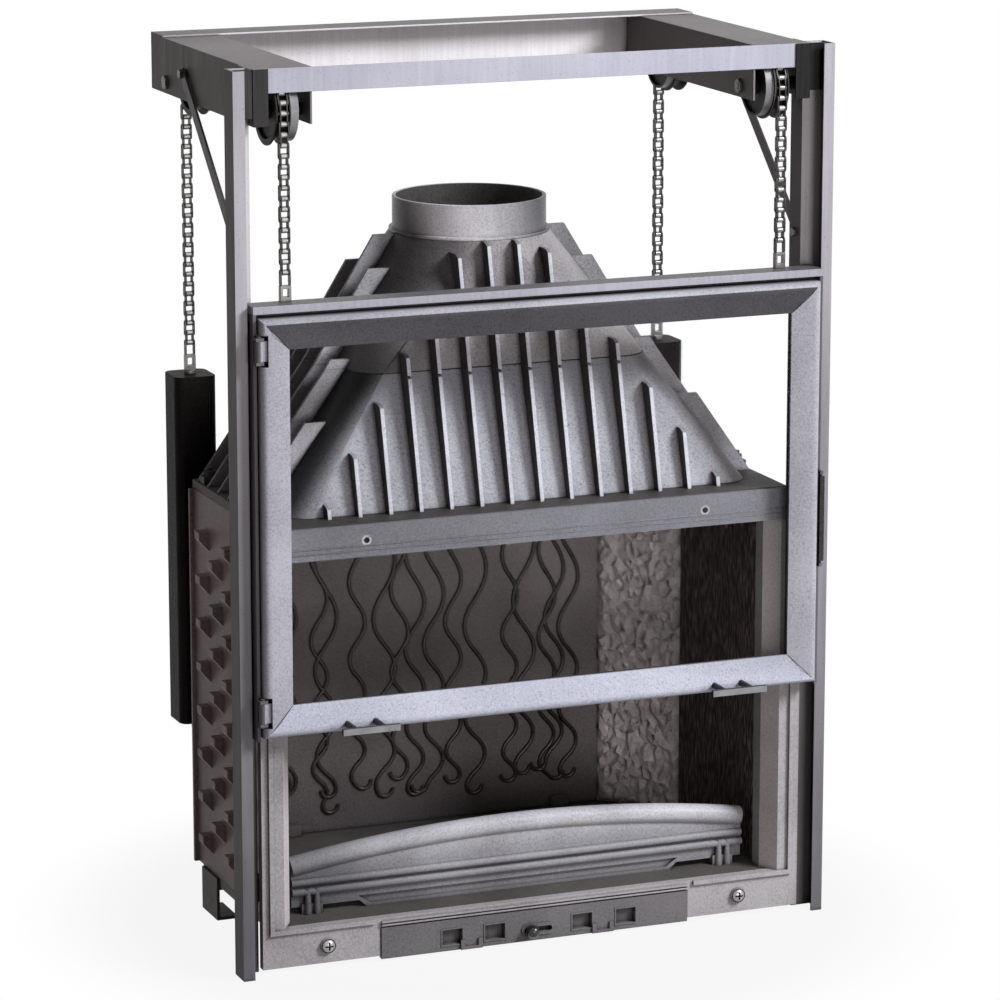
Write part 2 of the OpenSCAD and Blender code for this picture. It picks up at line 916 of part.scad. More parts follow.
lintel_z0 = opening_top - 1;
splay_depth = 1.6 * splay_width;
front_screw_z = 30;
front_screw_x = frame_x - 86;
lintel_screw_x = side_x - 119;
lintel_screw_z = opening_top + lintel_height / 2;

module lintel() {
    color(cast_grey) placed()
        difference() {
            block([-side_x, lintel_front, lintel_z0], [side_x, face_y, deck_top - 1]);
            for (side = [-1, 1]) {
                bar_y(2.5, lintel_front - 1, face_y + 1, side * lintel_screw_x, lintel_screw_z);
                bar_y(6.5, lintel_front - 1, lintel_front + 2.5, side * lintel_screw_x, lintel_screw_z);
            }
        }
}

module front_screws() {
    color(steel) placed()
        for (side = [-1, 1]) {
            difference() {
                bar_y(6.5, lintel_front, lintel_front + 2.5, side * lintel_screw_x, lintel_screw_z);
                translate([side * lintel_screw_x, lintel_front, lintel_screw_z]) {
                    cube([8, 2, 1.4], center = true);
                    cube([1.4, 2, 8], center = true);
                }
            }
            bar_y(2.5, lintel_front + 2.5, shell_y - 3, side * lintel_screw_x, lintel_screw_z);
            difference() {
                bar_y(9.5, face_y - 5, face_y, side * front_screw_x, front_screw_z);
                translate([side * front_screw_x, face_y - 5, front_screw_z]) {
                    cube([11, 3, 2], center = true);
                    cube([2, 3, 11], center = true);
                }
            }
            bar_y(4, face_y, shell_y, side * front_screw_x, front_screw_z);
        }
}

module hearth_plate() {
    fence = corner_outer;
    color(cast_dark) placed()
        difference() {
            translate([0, 0, hearth_z])
                linear_extrude(plate_thickness)
                    polygon([[side_x, shell_y], [side_x, fence - side_x], [fence - back_y, back_y],
                        [back_y - fence, back_y], [-side_x, fence - side_x], [-side_x, shell_y]]);
            block([-grate_half, grate_front, hearth_z - 1], [grate_half, grate_back, sill_height + 1]);
        }
}

grate_half = 130;
grate_front = reveal_back + 61;
grate_back = grate_front + 150;

peg_pitch_y = 52;
peg_pitch_z = 58;
peg_reach = 14;

// A cast stud on the outside of a side wall: flat top, sloping underside
module peg(y, z) {
    translate([0, y - 10, z])
        rotate([90, 0, 0])
            mirror([0, 0, 1])
                linear_extrude(20)
                    polygon([[side_x - 2, -14], [side_x, -14], [side_x + peg_reach, 2],
                        [side_x + peg_reach, 12], [side_x - 2, 12]]);
}

module side_wall(side) {
    z0 = sill_height;
    on_side(side) {
        block([side_inner, shell_y, z0], [side_x, side_back, deck_z]);
        block([side_x, side_back - 6, z0], [side_x + 6, side_back, deck_z]);
        for (column = [0:3])
            for (z = [z0 + 40 + (column % 2) * peg_pitch_z / 2:peg_pitch_z:deck_z - 50])
                peg(side_back - 58 - column * peg_pitch_y, z);
    }
}

module side_wall_left() {
    color(cast_dark) placed() side_wall(-1);
}

module side_wall_right() {
    color(cast_dark) placed() side_wall(1);
}

baffle_z = opening_top - 31;
baffle_sheet = 8;
baffle_front = side_back - 190;
baffle_back = side_back - 50;

module side_liners() {
    color(cast_dark) placed()
        for (side = [-1, 1])
            on_side(side) {
                translate([0, 0, sill_height])
                    linear_extrude(deck_z - sill_height - 4)
                        polygon([[liner_inner, reveal_back], [side_inner, reveal_back],
                            [side_inner, corner_inner - side_inner],
                            [liner_inner, corner_inner - liner_inner]]);
                block([liner_inner - 8, baffle_front + 10, baffle_z - 14],
                    [liner_inner, baffle_back + 10, baffle_z]);
            }
}

module corner_wall(side) {
    on_side(side)
        translate([0, 0, sill_height])
            linear_extrude(deck_z - sill_height)
                polygon([[side_inner, corner_inner - side_inner],
                    [side_inner, corner_outer - side_inner],
                    [corner_outer - back_y, back_y], [corner_inner - back_inner, back_inner]]);
}

module corner_wall_left() {
    color(cast_grey) placed() corner_wall(-1);
}

module corner_wall_right() {
    color(cast_grey) placed() corner_wall(1);
}

module back_wall() {
    outer = corner_outer - back_y;
    inner = corner_inner - back_inner;
    color(cast_grey) placed() {
        translate([0, 0, sill_height])
            linear_extrude(deck_z - sill_height)
                polygon([[inner, back_inner], [outer, back_y], [-outer, back_y], [-inner, back_inner]]);
        for (x = [50 - inner, inner - 60])
            block([x - 12, back_inner - 12, sill_height], [x + 12, back_inner + 2, sill_height + 14]);
    }
}

module deck() {
    fence = corner_outer;
    color(cast_dark) placed()
        difference() {
            translate([0, 0, deck_z])
                linear_extrude(plate_thickness)
                    polygon([[side_x, face_y], [side_x, side_back], [fence - side_back, side_back],
                        [fence - back_y, back_y], [back_y - fence, back_y],
                        [side_back - fence, side_back], [-side_x, side_back], [-side_x, face_y]]);
            block([78 - hood_base_x, hood_front + 62, deck_z - 1],
                [hood_base_x - 78, back_inner - 50, deck_top + 1]);
        }
}

module baffle() {
    color(cast_dark) placed()
        difference() {
            block([-liner_inner + easy, baffle_front, baffle_z],
                [liner_inner - easy, baffle_back, baffle_z + baffle_sheet]);
            for (x = [-200:100:200])
                translate([x, (baffle_front + baffle_back) / 2, baffle_z - 1])
                    cylinder(r = 9, h = baffle_sheet + 2);
        }
}

module grate() {
    x = grate_half - easy;
    y0 = grate_front + easy;
    y1 = grate_back - easy;
    color(cast_dark) placed() {
        difference() {
            block([-x, y0, hearth_z], [x, y1, sill_height - 2]);
            for (i = [0:8])
                block([-x + 14 + i * 26.2, y0 + 14, hearth_z - 1],
                    [-x + 28 + i * 26.2, y1 - 14, sill_height]);
        }
        block([-x, y0 + 40, sill_height - 2], [x, y0 + 60, sill_height + 4]);
        block([-x - 8, y0 + 40, sill_height], [x + 8, y0 + 60, sill_height + 4]);
    }
}

guard_x = opening_x - 13;
guard_foot_x = guard_x - 27;
guard_y = 58;
guard_rise = 26;
guard_end = 118;
guard_arc = (guard_x * guard_x + guard_rise * guard_rise) / (2 * guard_rise);
guard_angle = 2 * asin(guard_x / guard_arc);

// The slot along the guard's foot is a long trapezoid, and a slim rim closes it below
guard_slot_x = guard_x - 85;
guard_slot_height = 15;

module guard_rim(inset, y, thickness) {
    low = sill_height + inset;
    high = sill_height + guard_slot_height;
    x = guard_slot_x - 1.5 * inset;
    plate_xz([[-x, high], [-x + 17, low], [x - 17, low], [x, high]], y, thickness);
}

module log_guard() {
    arc_z = guard_end + guard_rise - guard_arc;
    y0 = reveal_back + 4;
    color(cast_grey) placed() {
        translate([0, y0 + 12, arc_z])
            rotate([90, 0, 0])
                rotate([0, 0, 90 - guard_angle / 2])
                    rotate_extrude(angle = guard_angle, $fn = 360)
                        translate([guard_arc, 0]) circle(r = 13, $fn = 32);
        difference() {
            union() {
                intersection() {
                    block([-guard_x, y0 + 6, sill_height + 9],
                        [guard_x, y0 + 16, guard_end + guard_rise]);
                    translate([0, y0 + 20, arc_z])
                        rotate([90, 0, 0]) cylinder(r = guard_arc, h = 30, $fn = 360);
                }
                guard_rim(0, y0 + 11, 10);
            }
            guard_rim(3.5, y0 + 6, 10);
        }
        bar_x(5, -guard_x, guard_x, y0 + 6, 98);
        bar_x(5, -guard_x, guard_x, y0 + 4, 86);
        for (side = [-1, 1], x = [guard_foot_x - 6, guard_foot_x + 6])
            translate([side * x, y0 + 2, sill_height]) cylinder(r1 = 5, r2 = 3, h = 34);
        for (side = [-1, 1])
            block([side * guard_foot_x - 14, y0 + 2, sill_height],
                [side * guard_foot_x + 14, y0 + 16, sill_height + 13]);
    }
}

// Ash drawer and air register

module drawer_housing() {
    x = housing_x;
    y0 = shell_y;
    y1 = tray_y + drawer_depth + 6;
    z0 = drawer_floor + 2;
    t = housing_sheet;
    color(sheet_dark) placed()
        difference() {
            block([-x, y0, z0], [x, y1, hearth_z]);
            block([-x + t, y0 - 1, z0 + t], [x - t, y1 - t, hearth_z + 1]);
        }
}

module ash_drawer() {
    x = tray_x;
    z0 = drawer_floor + 2 + housing_sheet + sliding;
    z1 = hearth_z - 6;
    t = 2;
    color(sheet_dark) placed() {
        difference() {
            block([-x, tray_y, z0], [x, tray_y + drawer_depth, z1]);
            block([-x + t, tray_y + t, z0 + t], [x - t, tray_y + drawer_depth - t, z1 + 1]);
            block([-x + 24, tray_y - 1, z0 + 8], [x - 24, tray_y + t + 1, z1 + 1]);
        }
        for (side = [-1, 1])
            bar_y(6, register_y - sliding, tray_y, side * (drawer_x - 16), (z0 + z1) / 2);
    }
}

module stadium(half, radius, y0, y1) {
    bar_y(radius, y0, y1, slot_centre - half + radius, knob_z);
    bar_y(radius, y0, y1, slot_centre + half - radius, knob_z);
    block([slot_centre - half + radius, y0, knob_z - radius],
        [slot_centre + half - radius, y1, knob_z + radius]);
}

module drawer_front() {
    y0 = drawer_face;
    y1 = drawer_face + drawer_front_thickness;
    color(cast_grey) placed() {
        difference() {
            union() {
                block([-drawer_x, y0, drawer_floor], [drawer_x, y1, drawer_top]);
                stadium(slot_half + 4, 8, y0 - 2, y0 + 1);
                for (x = [-90, 92])
                    block([x - 15, y0 - 3, drawer_floor], [x + 15, y0, drawer_floor + 13]);
            }
            for (x = window_x)
                block([x - window_width / 2, y0 - 1, window_z - window_height / 2],
                    [x + window_width / 2, y1 + 1, window_z + window_height / 2]);
            stadium(slot_half, 3.5, y0 - 3, y1 + 1);
            for (x = [-90, 92])
                block([x - 9, y0 - 4, drawer_floor + 4], [x + 9, y0, drawer_floor + 14]);
        }
        for (z = [drawer_floor + 1, drawer_top - 4]) {
            block([-drawer_guide, y1, z], [drawer_guide, y1 + register_sheet + 2 * sliding, z + 2]);
        }
        for (z = [drawer_floor + 1, drawer_top - 7.5])
            block([-drawer_guide, y1 + register_sheet + 2 * sliding, z],
                [drawer_guide, y1 + register_sheet + 2 * sliding + 1.2, z + 5.5]);
    }
}

module air_register() {
    z0 = drawer_floor + 3 + sliding;
    z1 = drawer_top - 4 - sliding;
    y0 = register_y;
    color(steel) placed() {
        difference() {
            block([-register_half - 12, y0, z0], [register_half, y0 + register_sheet, z1]);
            for (x = window_x)
                block([x - register_rest - window_width / 2, y0 - 1, window_z - window_height / 2 + 3],
                    [x - register_rest + window_width / 2, y0 + register_sheet + 1,
                    window_z + window_height / 2 - 3]);
        }
        bar_y(2.5, drawer_face - 6, y0 + register_sheet, knob_x, knob_z);
        translate([knob_x, drawer_face - 10, knob_z]) sphere(r = knob_radius);
    }
}

// Hood and flue

// Outline of the lower hood's foot, set in by a wall thickness where needed
module hood_foot(inset, z) {
    r = 35;
    s = 20;
    x = hood_base_x - inset;
    y0 = hood_front + inset;
    y1 = back_inner + 4 - inset;
    slant = corner_outer - s * sqrt(2) - 2 * inset;
    for (side = [-1, 1]) {
        translate([side * (x - r), y0 + r, z]) cylinder(r = r, h = 1, $fn = 32);
        translate([side * (x - s), slant - (x - s) - hood_side_gap, z])
            cylinder(r = s, h = 1, $fn = 32);
        translate([side * (slant - (y1 - s) - hood_rear_gap), y1 - s, z])
            cylinder(r = s, h = 1, $fn = 32);
    }
}

module hood_shoulder(inset, z) {
    r = 40;
    x = hood_top_x - inset;
    y0 = hood_seam_front + inset;
    y1 = hood_seam_back - inset;
    for (side = [-1, 1], y = [y0 + r, y1 - r])
        translate([side * (x - r), y, z]) cylinder(r = r, h = 1, $fn = 32);
}

front_fins = [
    for (i = [0:6]) [(i + 0.5) * fin_pitch, min(hood_top, deck_top + 16 + (6 - i) * 58.5)]
];
side_fin_first = hood_seam_front + 14;
side_fin_pitch = (hood_seam_back - 19 - side_fin_first) / 5;
side_fin_tops = [deck_top + 108, hood_seam + 12, hood_top - 37, hood_top, hood_top - 37,
    hood_seam + 12];
side_fins = [for (i = [0:5]) [side_fin_first + i * side_fin_pitch, side_fin_tops[i]]];

function front_face(z) =
    z <= hood_seam
        ? hood_front + (hood_seam_front - hood_front) * (z - deck_top) / hood_lower_height
        : hood_seam_front
            + (flue_setback - hood_throat - hood_seam_front) * (z - hood_seam) / hood_upper_height;

// The front edges of the front fins lie on one straight slope over both castings
function fin_edge(z) =
    let (foot = hood_front - fin_foot_reach)
    let (head = flue_setback - hood_throat - fin_top_reach)
    foot + (head - foot) * (z - deck_top) / (hood_top - deck_top);

function side_face(z) =
    z <= hood_seam
        ? hood_base_x - (hood_base_x - hood_top_x) * (z - deck_top) / hood_lower_height
        : hood_top_x - (hood_top_x - hood_throat) * (z - hood_seam) / hood_upper_height;

module front_fin(x, z0, z1, depth) {
    if (z1 > z0)
        plate_yz([[fin_edge(z0), z0], [front_face(z0) + depth, z0],
            [front_face(z1) + depth, z1], [fin_edge(z1) + 8, z1], [fin_edge(z1 - 4), z1 - 4]],
            x, fin_thickness);
}

module side_fin(side, y, z0, z1, depth) {
    if (z1 > z0)
        on_side(side)
            plate_xz([[side_face(z0) + fin_reach, z0], [side_face(z0) - depth, z0],
                [side_face(z1) - depth, z1], [side_face(z1) + fin_reach, z1]], y, fin_thickness);
}

module hood_lower() {
    z0 = deck_top;
    z1 = hood_seam;
    color(cast_grey) placed()
        difference() {
            union() {
                hull() {
                    hood_foot(0, z0);
                    hood_shoulder(0, z1 - 1);
                }
                for (fin = front_fins, side = [-1, 1])
                    front_fin(side * fin[0], z0, min(fin[1], z1), 12);
                for (fin = side_fins, side = [-1, 1])
                    side_fin(side, fin[0], z0, min(fin[1], z1), 30);
            }
            hull() {
                hood_foot(hood_wall, z0 - 1);
                hood_shoulder(hood_wall, z1);
            }
        }
}

module hood_upper() {
    z0 = hood_seam;
    z1 = hood_top;
    color(cast_grey) placed()
        difference() {
            union() {
                hull() {
                    hood_shoulder(0, z0);
                    translate([0, flue_setback, z1 - 1]) cylinder(r = hood_throat, h = 1, $fn = 64);
                }
                for (fin = front_fins, side = [-1, 1])
                    front_fin(side * fin[0], z0, fin[1], 60);
                for (fin = side_fins, side = [-1, 1])
                    side_fin(side, fin[0], z0, fin[1], 50);
            }
            hull() {
                hood_shoulder(hood_wall, z0 - 1);
                translate([0, flue_setback, z1])
                    cylinder(r = hood_throat - hood_wall - 1.5, h = 1, $fn = 64);
            }
        }
}

module flue_collar() {
    color(cast_grey) placed()
        translate([0, flue_setback, hood_top])
            difference() {
                union() {
                    cylinder(r = flue_radius, h = flue_height, $fn = 128);
                    cylinder(r = hood_throat, h = 4, $fn = 128);
                }
                translate([0, 0, -1]) cylinder(r = flue_radius - collar_wall, h = flue_height + 2, $fn = 128);
            }
}

module hood_clamps() {
    x0 = hood_base_x - 10;
    color(cast_dark) placed()
        for (side = [-1, 1], y = [flue_setback - 100, flue_setback + 60])
            on_side(side) {
                difference() {
                    block([hood_base_x, y - 9, deck_top], [side_x - 2, y + 9, deck_top + 10]);
                    translate([side_x - 12, y, deck_top - 1]) cylinder(r = 4, h = 12);
                }
                translate([side_x - 12, y, deck_top]) cylinder(r = 4, h = 22);
                translate([side_x - 12, y, deck_top + 10]) cylinder(r = 8, h = 7, $fn = 6);
            }
}

// Feet and the spacers between firebox and rails

module firebox_mounts() {
    y0 = side_back - 91;
    y1 = side_back - 28;
    color(sheet_dark) placed()
        for (side = [-1, 1])
            on_side(side) {
                block([side_x, y0, 0], [side_x + 4, y1, sill_height]);
                block([side_x - 30, y0, hearth_z - 4], [side_x + 4, y1, hearth_z]);
                block([side_x - 24, y0, 0], [side_x + 4, y1, 4]);
                for (z = [sill_height + 33, sill_height + 243, sill_height + 443])
                    block([side_x, rail_depth + 2, z], [frame_x, rail_depth + rail_lip - 2, z + 30]);
            }
}

rail_left();
rail_right();
top_channel_left();
top_channel_right();
top_back_plate();
top_front_bar();
corner_angles();
brace_left();
brace_right();
brace_bolts();
wheel_axles();
axle_sleeves();
wheel_front_left();
wheel_front_right();
wheel_rear_left();
wheel_rear_right();
chain_front_left();
chain_front_right();
chain_top_left();
chain_top_right();
chain_rear_left();
chain_rear_right();
counterweight_left();
counterweight_right();
weight_clevis_left();
weight_clevis_right();
carriage_bar();
carriage_stiles();
guide_shoes();
carriage_clevises();
hinge_pins();
door_frame();
door_glass();
glass_retainer();
door_gasket();
door_handles();
door_latch();
front_frame();
lintel();
front_screws();
hearth_plate();
side_wall_left();
side_wall_right();
side_liners();
corner_wall_left();
corner_wall_right();
back_wall();
deck();
baffle();
grate();
log_guard();
drawer_housing();
ash_drawer();
drawer_front();
air_register();
hood_lower();
hood_upper();
flue_collar();
hood_clamps();
firebox_mounts();
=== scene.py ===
import math

import bpy
from mathutils import Matrix, Vector, noise
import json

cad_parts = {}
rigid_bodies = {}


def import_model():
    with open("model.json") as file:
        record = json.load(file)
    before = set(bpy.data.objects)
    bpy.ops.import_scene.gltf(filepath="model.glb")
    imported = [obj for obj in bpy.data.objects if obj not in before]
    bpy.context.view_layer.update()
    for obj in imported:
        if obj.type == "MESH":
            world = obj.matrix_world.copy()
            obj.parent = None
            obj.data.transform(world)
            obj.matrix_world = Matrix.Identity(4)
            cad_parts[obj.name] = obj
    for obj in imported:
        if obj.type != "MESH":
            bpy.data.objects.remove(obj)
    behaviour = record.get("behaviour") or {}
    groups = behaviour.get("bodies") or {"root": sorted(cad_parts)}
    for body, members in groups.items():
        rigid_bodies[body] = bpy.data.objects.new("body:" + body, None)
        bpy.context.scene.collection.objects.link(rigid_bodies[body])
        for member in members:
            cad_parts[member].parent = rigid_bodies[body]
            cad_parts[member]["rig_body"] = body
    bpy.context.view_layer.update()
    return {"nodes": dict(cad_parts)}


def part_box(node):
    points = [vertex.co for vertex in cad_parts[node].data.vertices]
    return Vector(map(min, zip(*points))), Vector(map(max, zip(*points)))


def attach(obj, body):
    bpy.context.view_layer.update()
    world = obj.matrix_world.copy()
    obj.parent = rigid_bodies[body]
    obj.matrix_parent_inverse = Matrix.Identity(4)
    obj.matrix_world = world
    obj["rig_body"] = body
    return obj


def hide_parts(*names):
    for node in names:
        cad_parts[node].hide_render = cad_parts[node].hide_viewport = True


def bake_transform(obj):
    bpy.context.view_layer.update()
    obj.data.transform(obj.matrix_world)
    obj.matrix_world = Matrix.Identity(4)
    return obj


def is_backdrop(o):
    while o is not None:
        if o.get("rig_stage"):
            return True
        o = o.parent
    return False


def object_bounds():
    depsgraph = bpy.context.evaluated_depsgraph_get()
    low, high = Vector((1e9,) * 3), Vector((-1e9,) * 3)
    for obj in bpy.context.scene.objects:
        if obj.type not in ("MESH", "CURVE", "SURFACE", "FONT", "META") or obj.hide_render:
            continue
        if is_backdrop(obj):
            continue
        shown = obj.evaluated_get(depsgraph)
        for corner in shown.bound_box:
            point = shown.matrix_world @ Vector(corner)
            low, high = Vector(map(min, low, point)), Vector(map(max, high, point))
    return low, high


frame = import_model()

# The studio
# The insert stands on a plain pale floor before a white ground. A high soft lamp on the right is the main light,
# a lower and weaker one in front reaches into the firebox, and the faces turned to the left stay dark.
bpy.context.scene.view_settings.view_transform = "Standard"

stand = Vector((0.0, 0.0, 0.572))
azimuth = math.radians(-21.8)
elevation = math.radians(12.5)
camera_distance = 5.779
aside, below = 0.016, 0.024
look = Vector((-math.sin(azimuth) * math.cos(elevation), math.cos(azimuth) * math.cos(elevation),
               -math.sin(elevation)))
right = Vector((math.cos(azimuth), math.sin(azimuth), 0.0))
up = right.cross(look)
lens = bpy.data.cameras.new("photo_camera")
lens.sensor_width = 36.0
lens.lens = 160.96
lens.clip_end = 60.0
camera = bpy.data.objects.new("photo_camera", lens)
bpy.context.scene.collection.objects.link(camera)
camera.location = stand + right * aside - up * below - look * camera_distance
camera.rotation_euler = look.to_track_quat("-Z", "Y").to_euler()
bpy.context.scene.camera = camera


def softbox(name, place, aim, size, power, tint):
    """A rectangular soft lamp that the camera doesn't see."""
    lamp = bpy.data.lights.new(name, "AREA")
    lamp.shape = "RECTANGLE"
    lamp.size, lamp.size_y = size
    lamp.energy = power
    lamp.color = tint
    holder = bpy.data.objects.new(name, lamp)
    bpy.context.scene.collection.objects.link(holder)
    holder.location = place
    holder.rotation_euler = (Vector(aim) - Vector(place)).to_track_quat("-Z", "Y").to_euler()
    holder.visible_camera = False


softbox("high_softbox", (2.75, -2.75, 3.1), (0.0, 0.0, 0.6), (1.3, 1.3), 265.0, (0.93, 0.96, 1.0))
softbox("front_softbox", (0.45, -4.3, 0.7), (0.0, 0.0, 0.45), (1.3, 1.1), 46.0, (1.0, 0.98, 0.97))


def plain_rays(tree):
    """1 for the rays that see the white ground: the camera's own, mirrored ones and those through glass."""
    path = tree.nodes.new("ShaderNodeLightPath")
    glossy = tree.nodes.new("ShaderNodeMath")
    glossy.operation = "MAXIMUM"
    through = tree.nodes.new("ShaderNodeMath")
    through.operation = "MAXIMUM"
    tree.links.new(path.outputs["Is Camera Ray"], glossy.inputs[0])
    tree.links.new(path.outputs["Is Glossy Ray"], glossy.inputs[1])
    tree.links.new(glossy.outputs[0], through.inputs[0])
    tree.links.new(path.outputs["Is Transmission Ray"], through.inputs[1])
    return through.outputs[0]


world = bpy.data.worlds.new("white_studio")
bpy.context.scene.world = world
world.use_nodes = True
tree = world.node_tree
tree.nodes.clear()
sky = tree.nodes.new("ShaderNodeOutputWorld")
seen = tree.nodes.new("ShaderNodeBackground")
seen.inputs["Color"].default_value = (1.0, 1.0, 1.0, 1.0)
fill = tree.nodes.new("ShaderNodeBackground")
fill.inputs["Color"].default_value = (1.0, 0.86, 0.82, 1.0)
fill.inputs["Strength"].default_value = 0.08
either = tree.nodes.new("ShaderNodeMixShader")
tree.links.new(plain_rays(tree), either.inputs["Fac"])
tree.links.new(fill.outputs[0], either.inputs[1])
tree.links.new(seen.outputs[0], either.inputs[2])
tree.links.new(either.outputs[0], sky.inputs["Surface"])

bpy.ops.object.select_all(action="DESELECT")
bpy.ops.mesh.primitive_circle_add(vertices=96, radius=9.0, fill_type="NGON", location=(0.0, 0.0, 0.0))
floor = bpy.context.object
floor.name = "studio_floor"
paper = bpy.data.materials.new("floor_paper")
paper.use_nodes = True
tree = paper.node_tree
tree.nodes.clear()
top = tree.nodes.new("ShaderNodeOutputMaterial")
card = tree.nodes.new("ShaderNodeBsdfDiffuse")
card.inputs["Color"].default_value = (0.3, 0.29, 0.285, 1.0)
glow = tree.nodes.new("ShaderNodeEmission")
glow.inputs["Color"].default_value = (1.0, 1.0, 1.0, 1.0)
place = tree.nodes.new("ShaderNodeTexCoord")
reach = tree.nodes.new("ShaderNodeVectorMath")
reach.operation = "LENGTH"
fade = tree.nodes.new("ShaderNodeMapRange")
fade.interpolation_type = "SMOOTHSTEP"
fade.inputs["From Min"].default_value = 0.42
fade.inputs["From Max"].default_value = 0.66
fade.inputs["To Min"].default_value = 0.9
fade.inputs["To Max"].default_value = 1.0
veil = tree.nodes.new("ShaderNodeMath")
veil.operation = "MULTIPLY"
either = tree.nodes.new("ShaderNodeMixShader")
tree.links.new(place.outputs["Object"], reach.inputs[0])
tree.links.new(reach.outputs["Value"], fade.inputs["Value"])
tree.links.new(plain_rays(tree), veil.inputs[0])
tree.links.new(fade.outputs[0], veil.inputs[1])
tree.links.new(veil.outputs[0], either.inputs["Fac"])
tree.links.new(card.outputs[0], either.inputs[1])
tree.links.new(glow.outputs[0], either.inputs[2])
tree.links.new(either.outputs[0], top.inputs["Surface"])
floor.data.materials.append(paper)
floor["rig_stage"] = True

# Upright rails
# Each rail is one strip of steel sheet, folded to a channel that is open to the inside, with a lip behind it.
# It is sprayed in a satin lilac grey, which a faint upright brushing shows through.


def finished_copy(node, finish, soften, steps=2, smooth=35.0, cuts=()):
    """A part as it leaves the bench: faces joined, sharp edges broken, curves smoothed, painted."""
    bpy.ops.object.select_all(action="DESELECT")
    source = frame["nodes"][node]
    twin = bpy.data.objects.new(node + "_finished", source.data.copy())
    bpy.context.scene.collection.objects.link(twin)
    bpy.context.view_layer.objects.active = twin
    twin.select_set(True)
    twin.data.materials.clear()
    bpy.ops.object.mode_set(mode="EDIT")
    bpy.ops.mesh.select_all(action="SELECT")
    bpy.ops.mesh.remove_doubles(threshold=0.00001)
    bpy.ops.mesh.dissolve_limited(angle_limit=math.radians(0.6))
    for spot, across in cuts:
        bpy.ops.mesh.select_all(action="SELECT")
        bpy.ops.mesh.bisect(plane_co=spot, plane_no=across)
    bpy.ops.object.mode_set(mode="OBJECT")
    if soften:
        edge = twin.modifiers.new("edge", "BEVEL")
        edge.limit_method = "ANGLE"
        edge.angle_limit = math.radians(30.0)
        edge.width = soften
        edge.segments = steps
        bpy.ops.object.modifier_apply(modifier="edge")
    bpy.ops.object.shade_smooth_by_angle(angle=math.radians(smooth))
    if soften:
        flat = twin.modifiers.new("flat", "WEIGHTED_NORMAL")
        flat.mode = "FACE_AREA_WITH_ANGLE"
        flat.weight = 100
        flat.keep_sharp = True
        bpy.ops.object.modifier_apply(modifier="flat")
    twin.data.materials.append(finish)
    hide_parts(node)
    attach(twin, source["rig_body"])
    return twin


def choose(piece, kind, wanted):
    """Opens a piece for editing with the faces or edges selected that are wanted."""
    bpy.context.view_layer.objects.active = piece
    bpy.context.tool_settings.mesh_select_mode = (False, kind == "EDGE", kind == "FACE")
    bpy.ops.object.mode_set(mode="EDIT")
    bpy.ops.mesh.select_all(action="DESELECT")
    bpy.ops.object.mode_set(mode="OBJECT")
    if kind == "FACE":
        for face in piece.data.polygons:
            face.select = wanted(face.center, face.normal)
    else:
        corners = piece.data.vertices
        for edge in piece.data.edges:
            edge.select = wanted(corners[edge.vertices[0]].co, corners[edge.vertices[1]].co)
    bpy.ops.object.mode_set(mode="EDIT")


def repaint(piece, finish, wanted):
    """Puts a second finish on the faces that are wanted."""
    piece.data.materials.append(finish)
    choose(piece, "FACE", wanted)
    piece.active_material_index = len(piece.data.materials) - 1
    bpy.ops.object.material_slot_assign()
    bpy.ops.object.mode_set(mode="OBJECT")


def new_finish(name):
    """An empty finish with its shader, and the coordinates of the piece it lies on."""
    finish = bpy.data.materials.new(name)
    finish.use_nodes = True
    tree = finish.node_tree
    tree.nodes.clear()
    output = tree.nodes.new("ShaderNodeOutputMaterial")
    shader = tree.nodes.new("ShaderNodeBsdfPrincipled")
    tree.links.new(shader.outputs[0], output.inputs["Surface"])
    place = tree.nodes.new("ShaderNodeTexCoord")
    return finish, tree, shader, place


def ramp(tree, source, stops):
    """Turns a value into a colour: pairs of a value and its colour."""
    node = tree.nodes.new("ShaderNodeValToRGB")
    while len(node.color_ramp.elements) < len(stops):
        node.color_ramp.elements.new(0.5)
    for element, (where, colour) in zip(node.color_ramp.elements, stops):
        element.position = where
        element.color = (*colour, 1.0)
    tree.links.new(source, node.inputs["Fac"])
    return node.outputs["Color"]


def grain(tree, place, scale, detail=3.0, stretch=(1.0, 1.0, 1.0)):
    """Fine noise in the piece's own coordinates; a low stretch draws it out along that axis."""
    turn = tree.nodes.new("ShaderNodeMapping")
    turn.inputs["Scale"].default_value = stretch
    noisy = tree.nodes.new("ShaderNodeTexNoise")
    noisy.inputs["Scale"].default_value = scale
    noisy.inputs["Detail"].default_value = detail
    tree.links.new(place.outputs["Object"], turn.inputs["Vector"])
    tree.links.new(turn.outputs[0], noisy.inputs["Vector"])
    return noisy.outputs["Fac"]


def sum_of(tree, first, share, second):
    """The first pattern times its share, plus the second."""
    both = tree.nodes.new("ShaderNodeMath")
    both.operation = "MULTIPLY_ADD"
    both.inputs[1].default_value = share
    tree.links.new(first, both.inputs[0])
    tree.links.new(second, both.inputs[2])
    return both.outputs[0]


def layered(tree, first, second):
    """One colour pattern multiplied over another."""
    mixed = tree.nodes.new("ShaderNodeMixRGB")
    mixed.blend_type = "MULTIPLY"
    mixed.inputs["Fac"].default_value = 1.0
    tree.links.new(first, mixed.inputs["Color1"])
    tree.links.new(second, mixed.inputs["Color2"])
    return mixed.outputs["Color"]


def relief(tree, shader, source, strength, depth):
    """A faint unevenness of the surface."""
    bump = tree.nodes.new("ShaderNodeBump")
    bump.inputs["Strength"].default_value = strength
    bump.inputs["Distance"].default_value = depth
    tree.links.new(source, bump.inputs["Height"])
    tree.links.new(bump.outputs[0], shader.inputs["Normal"])


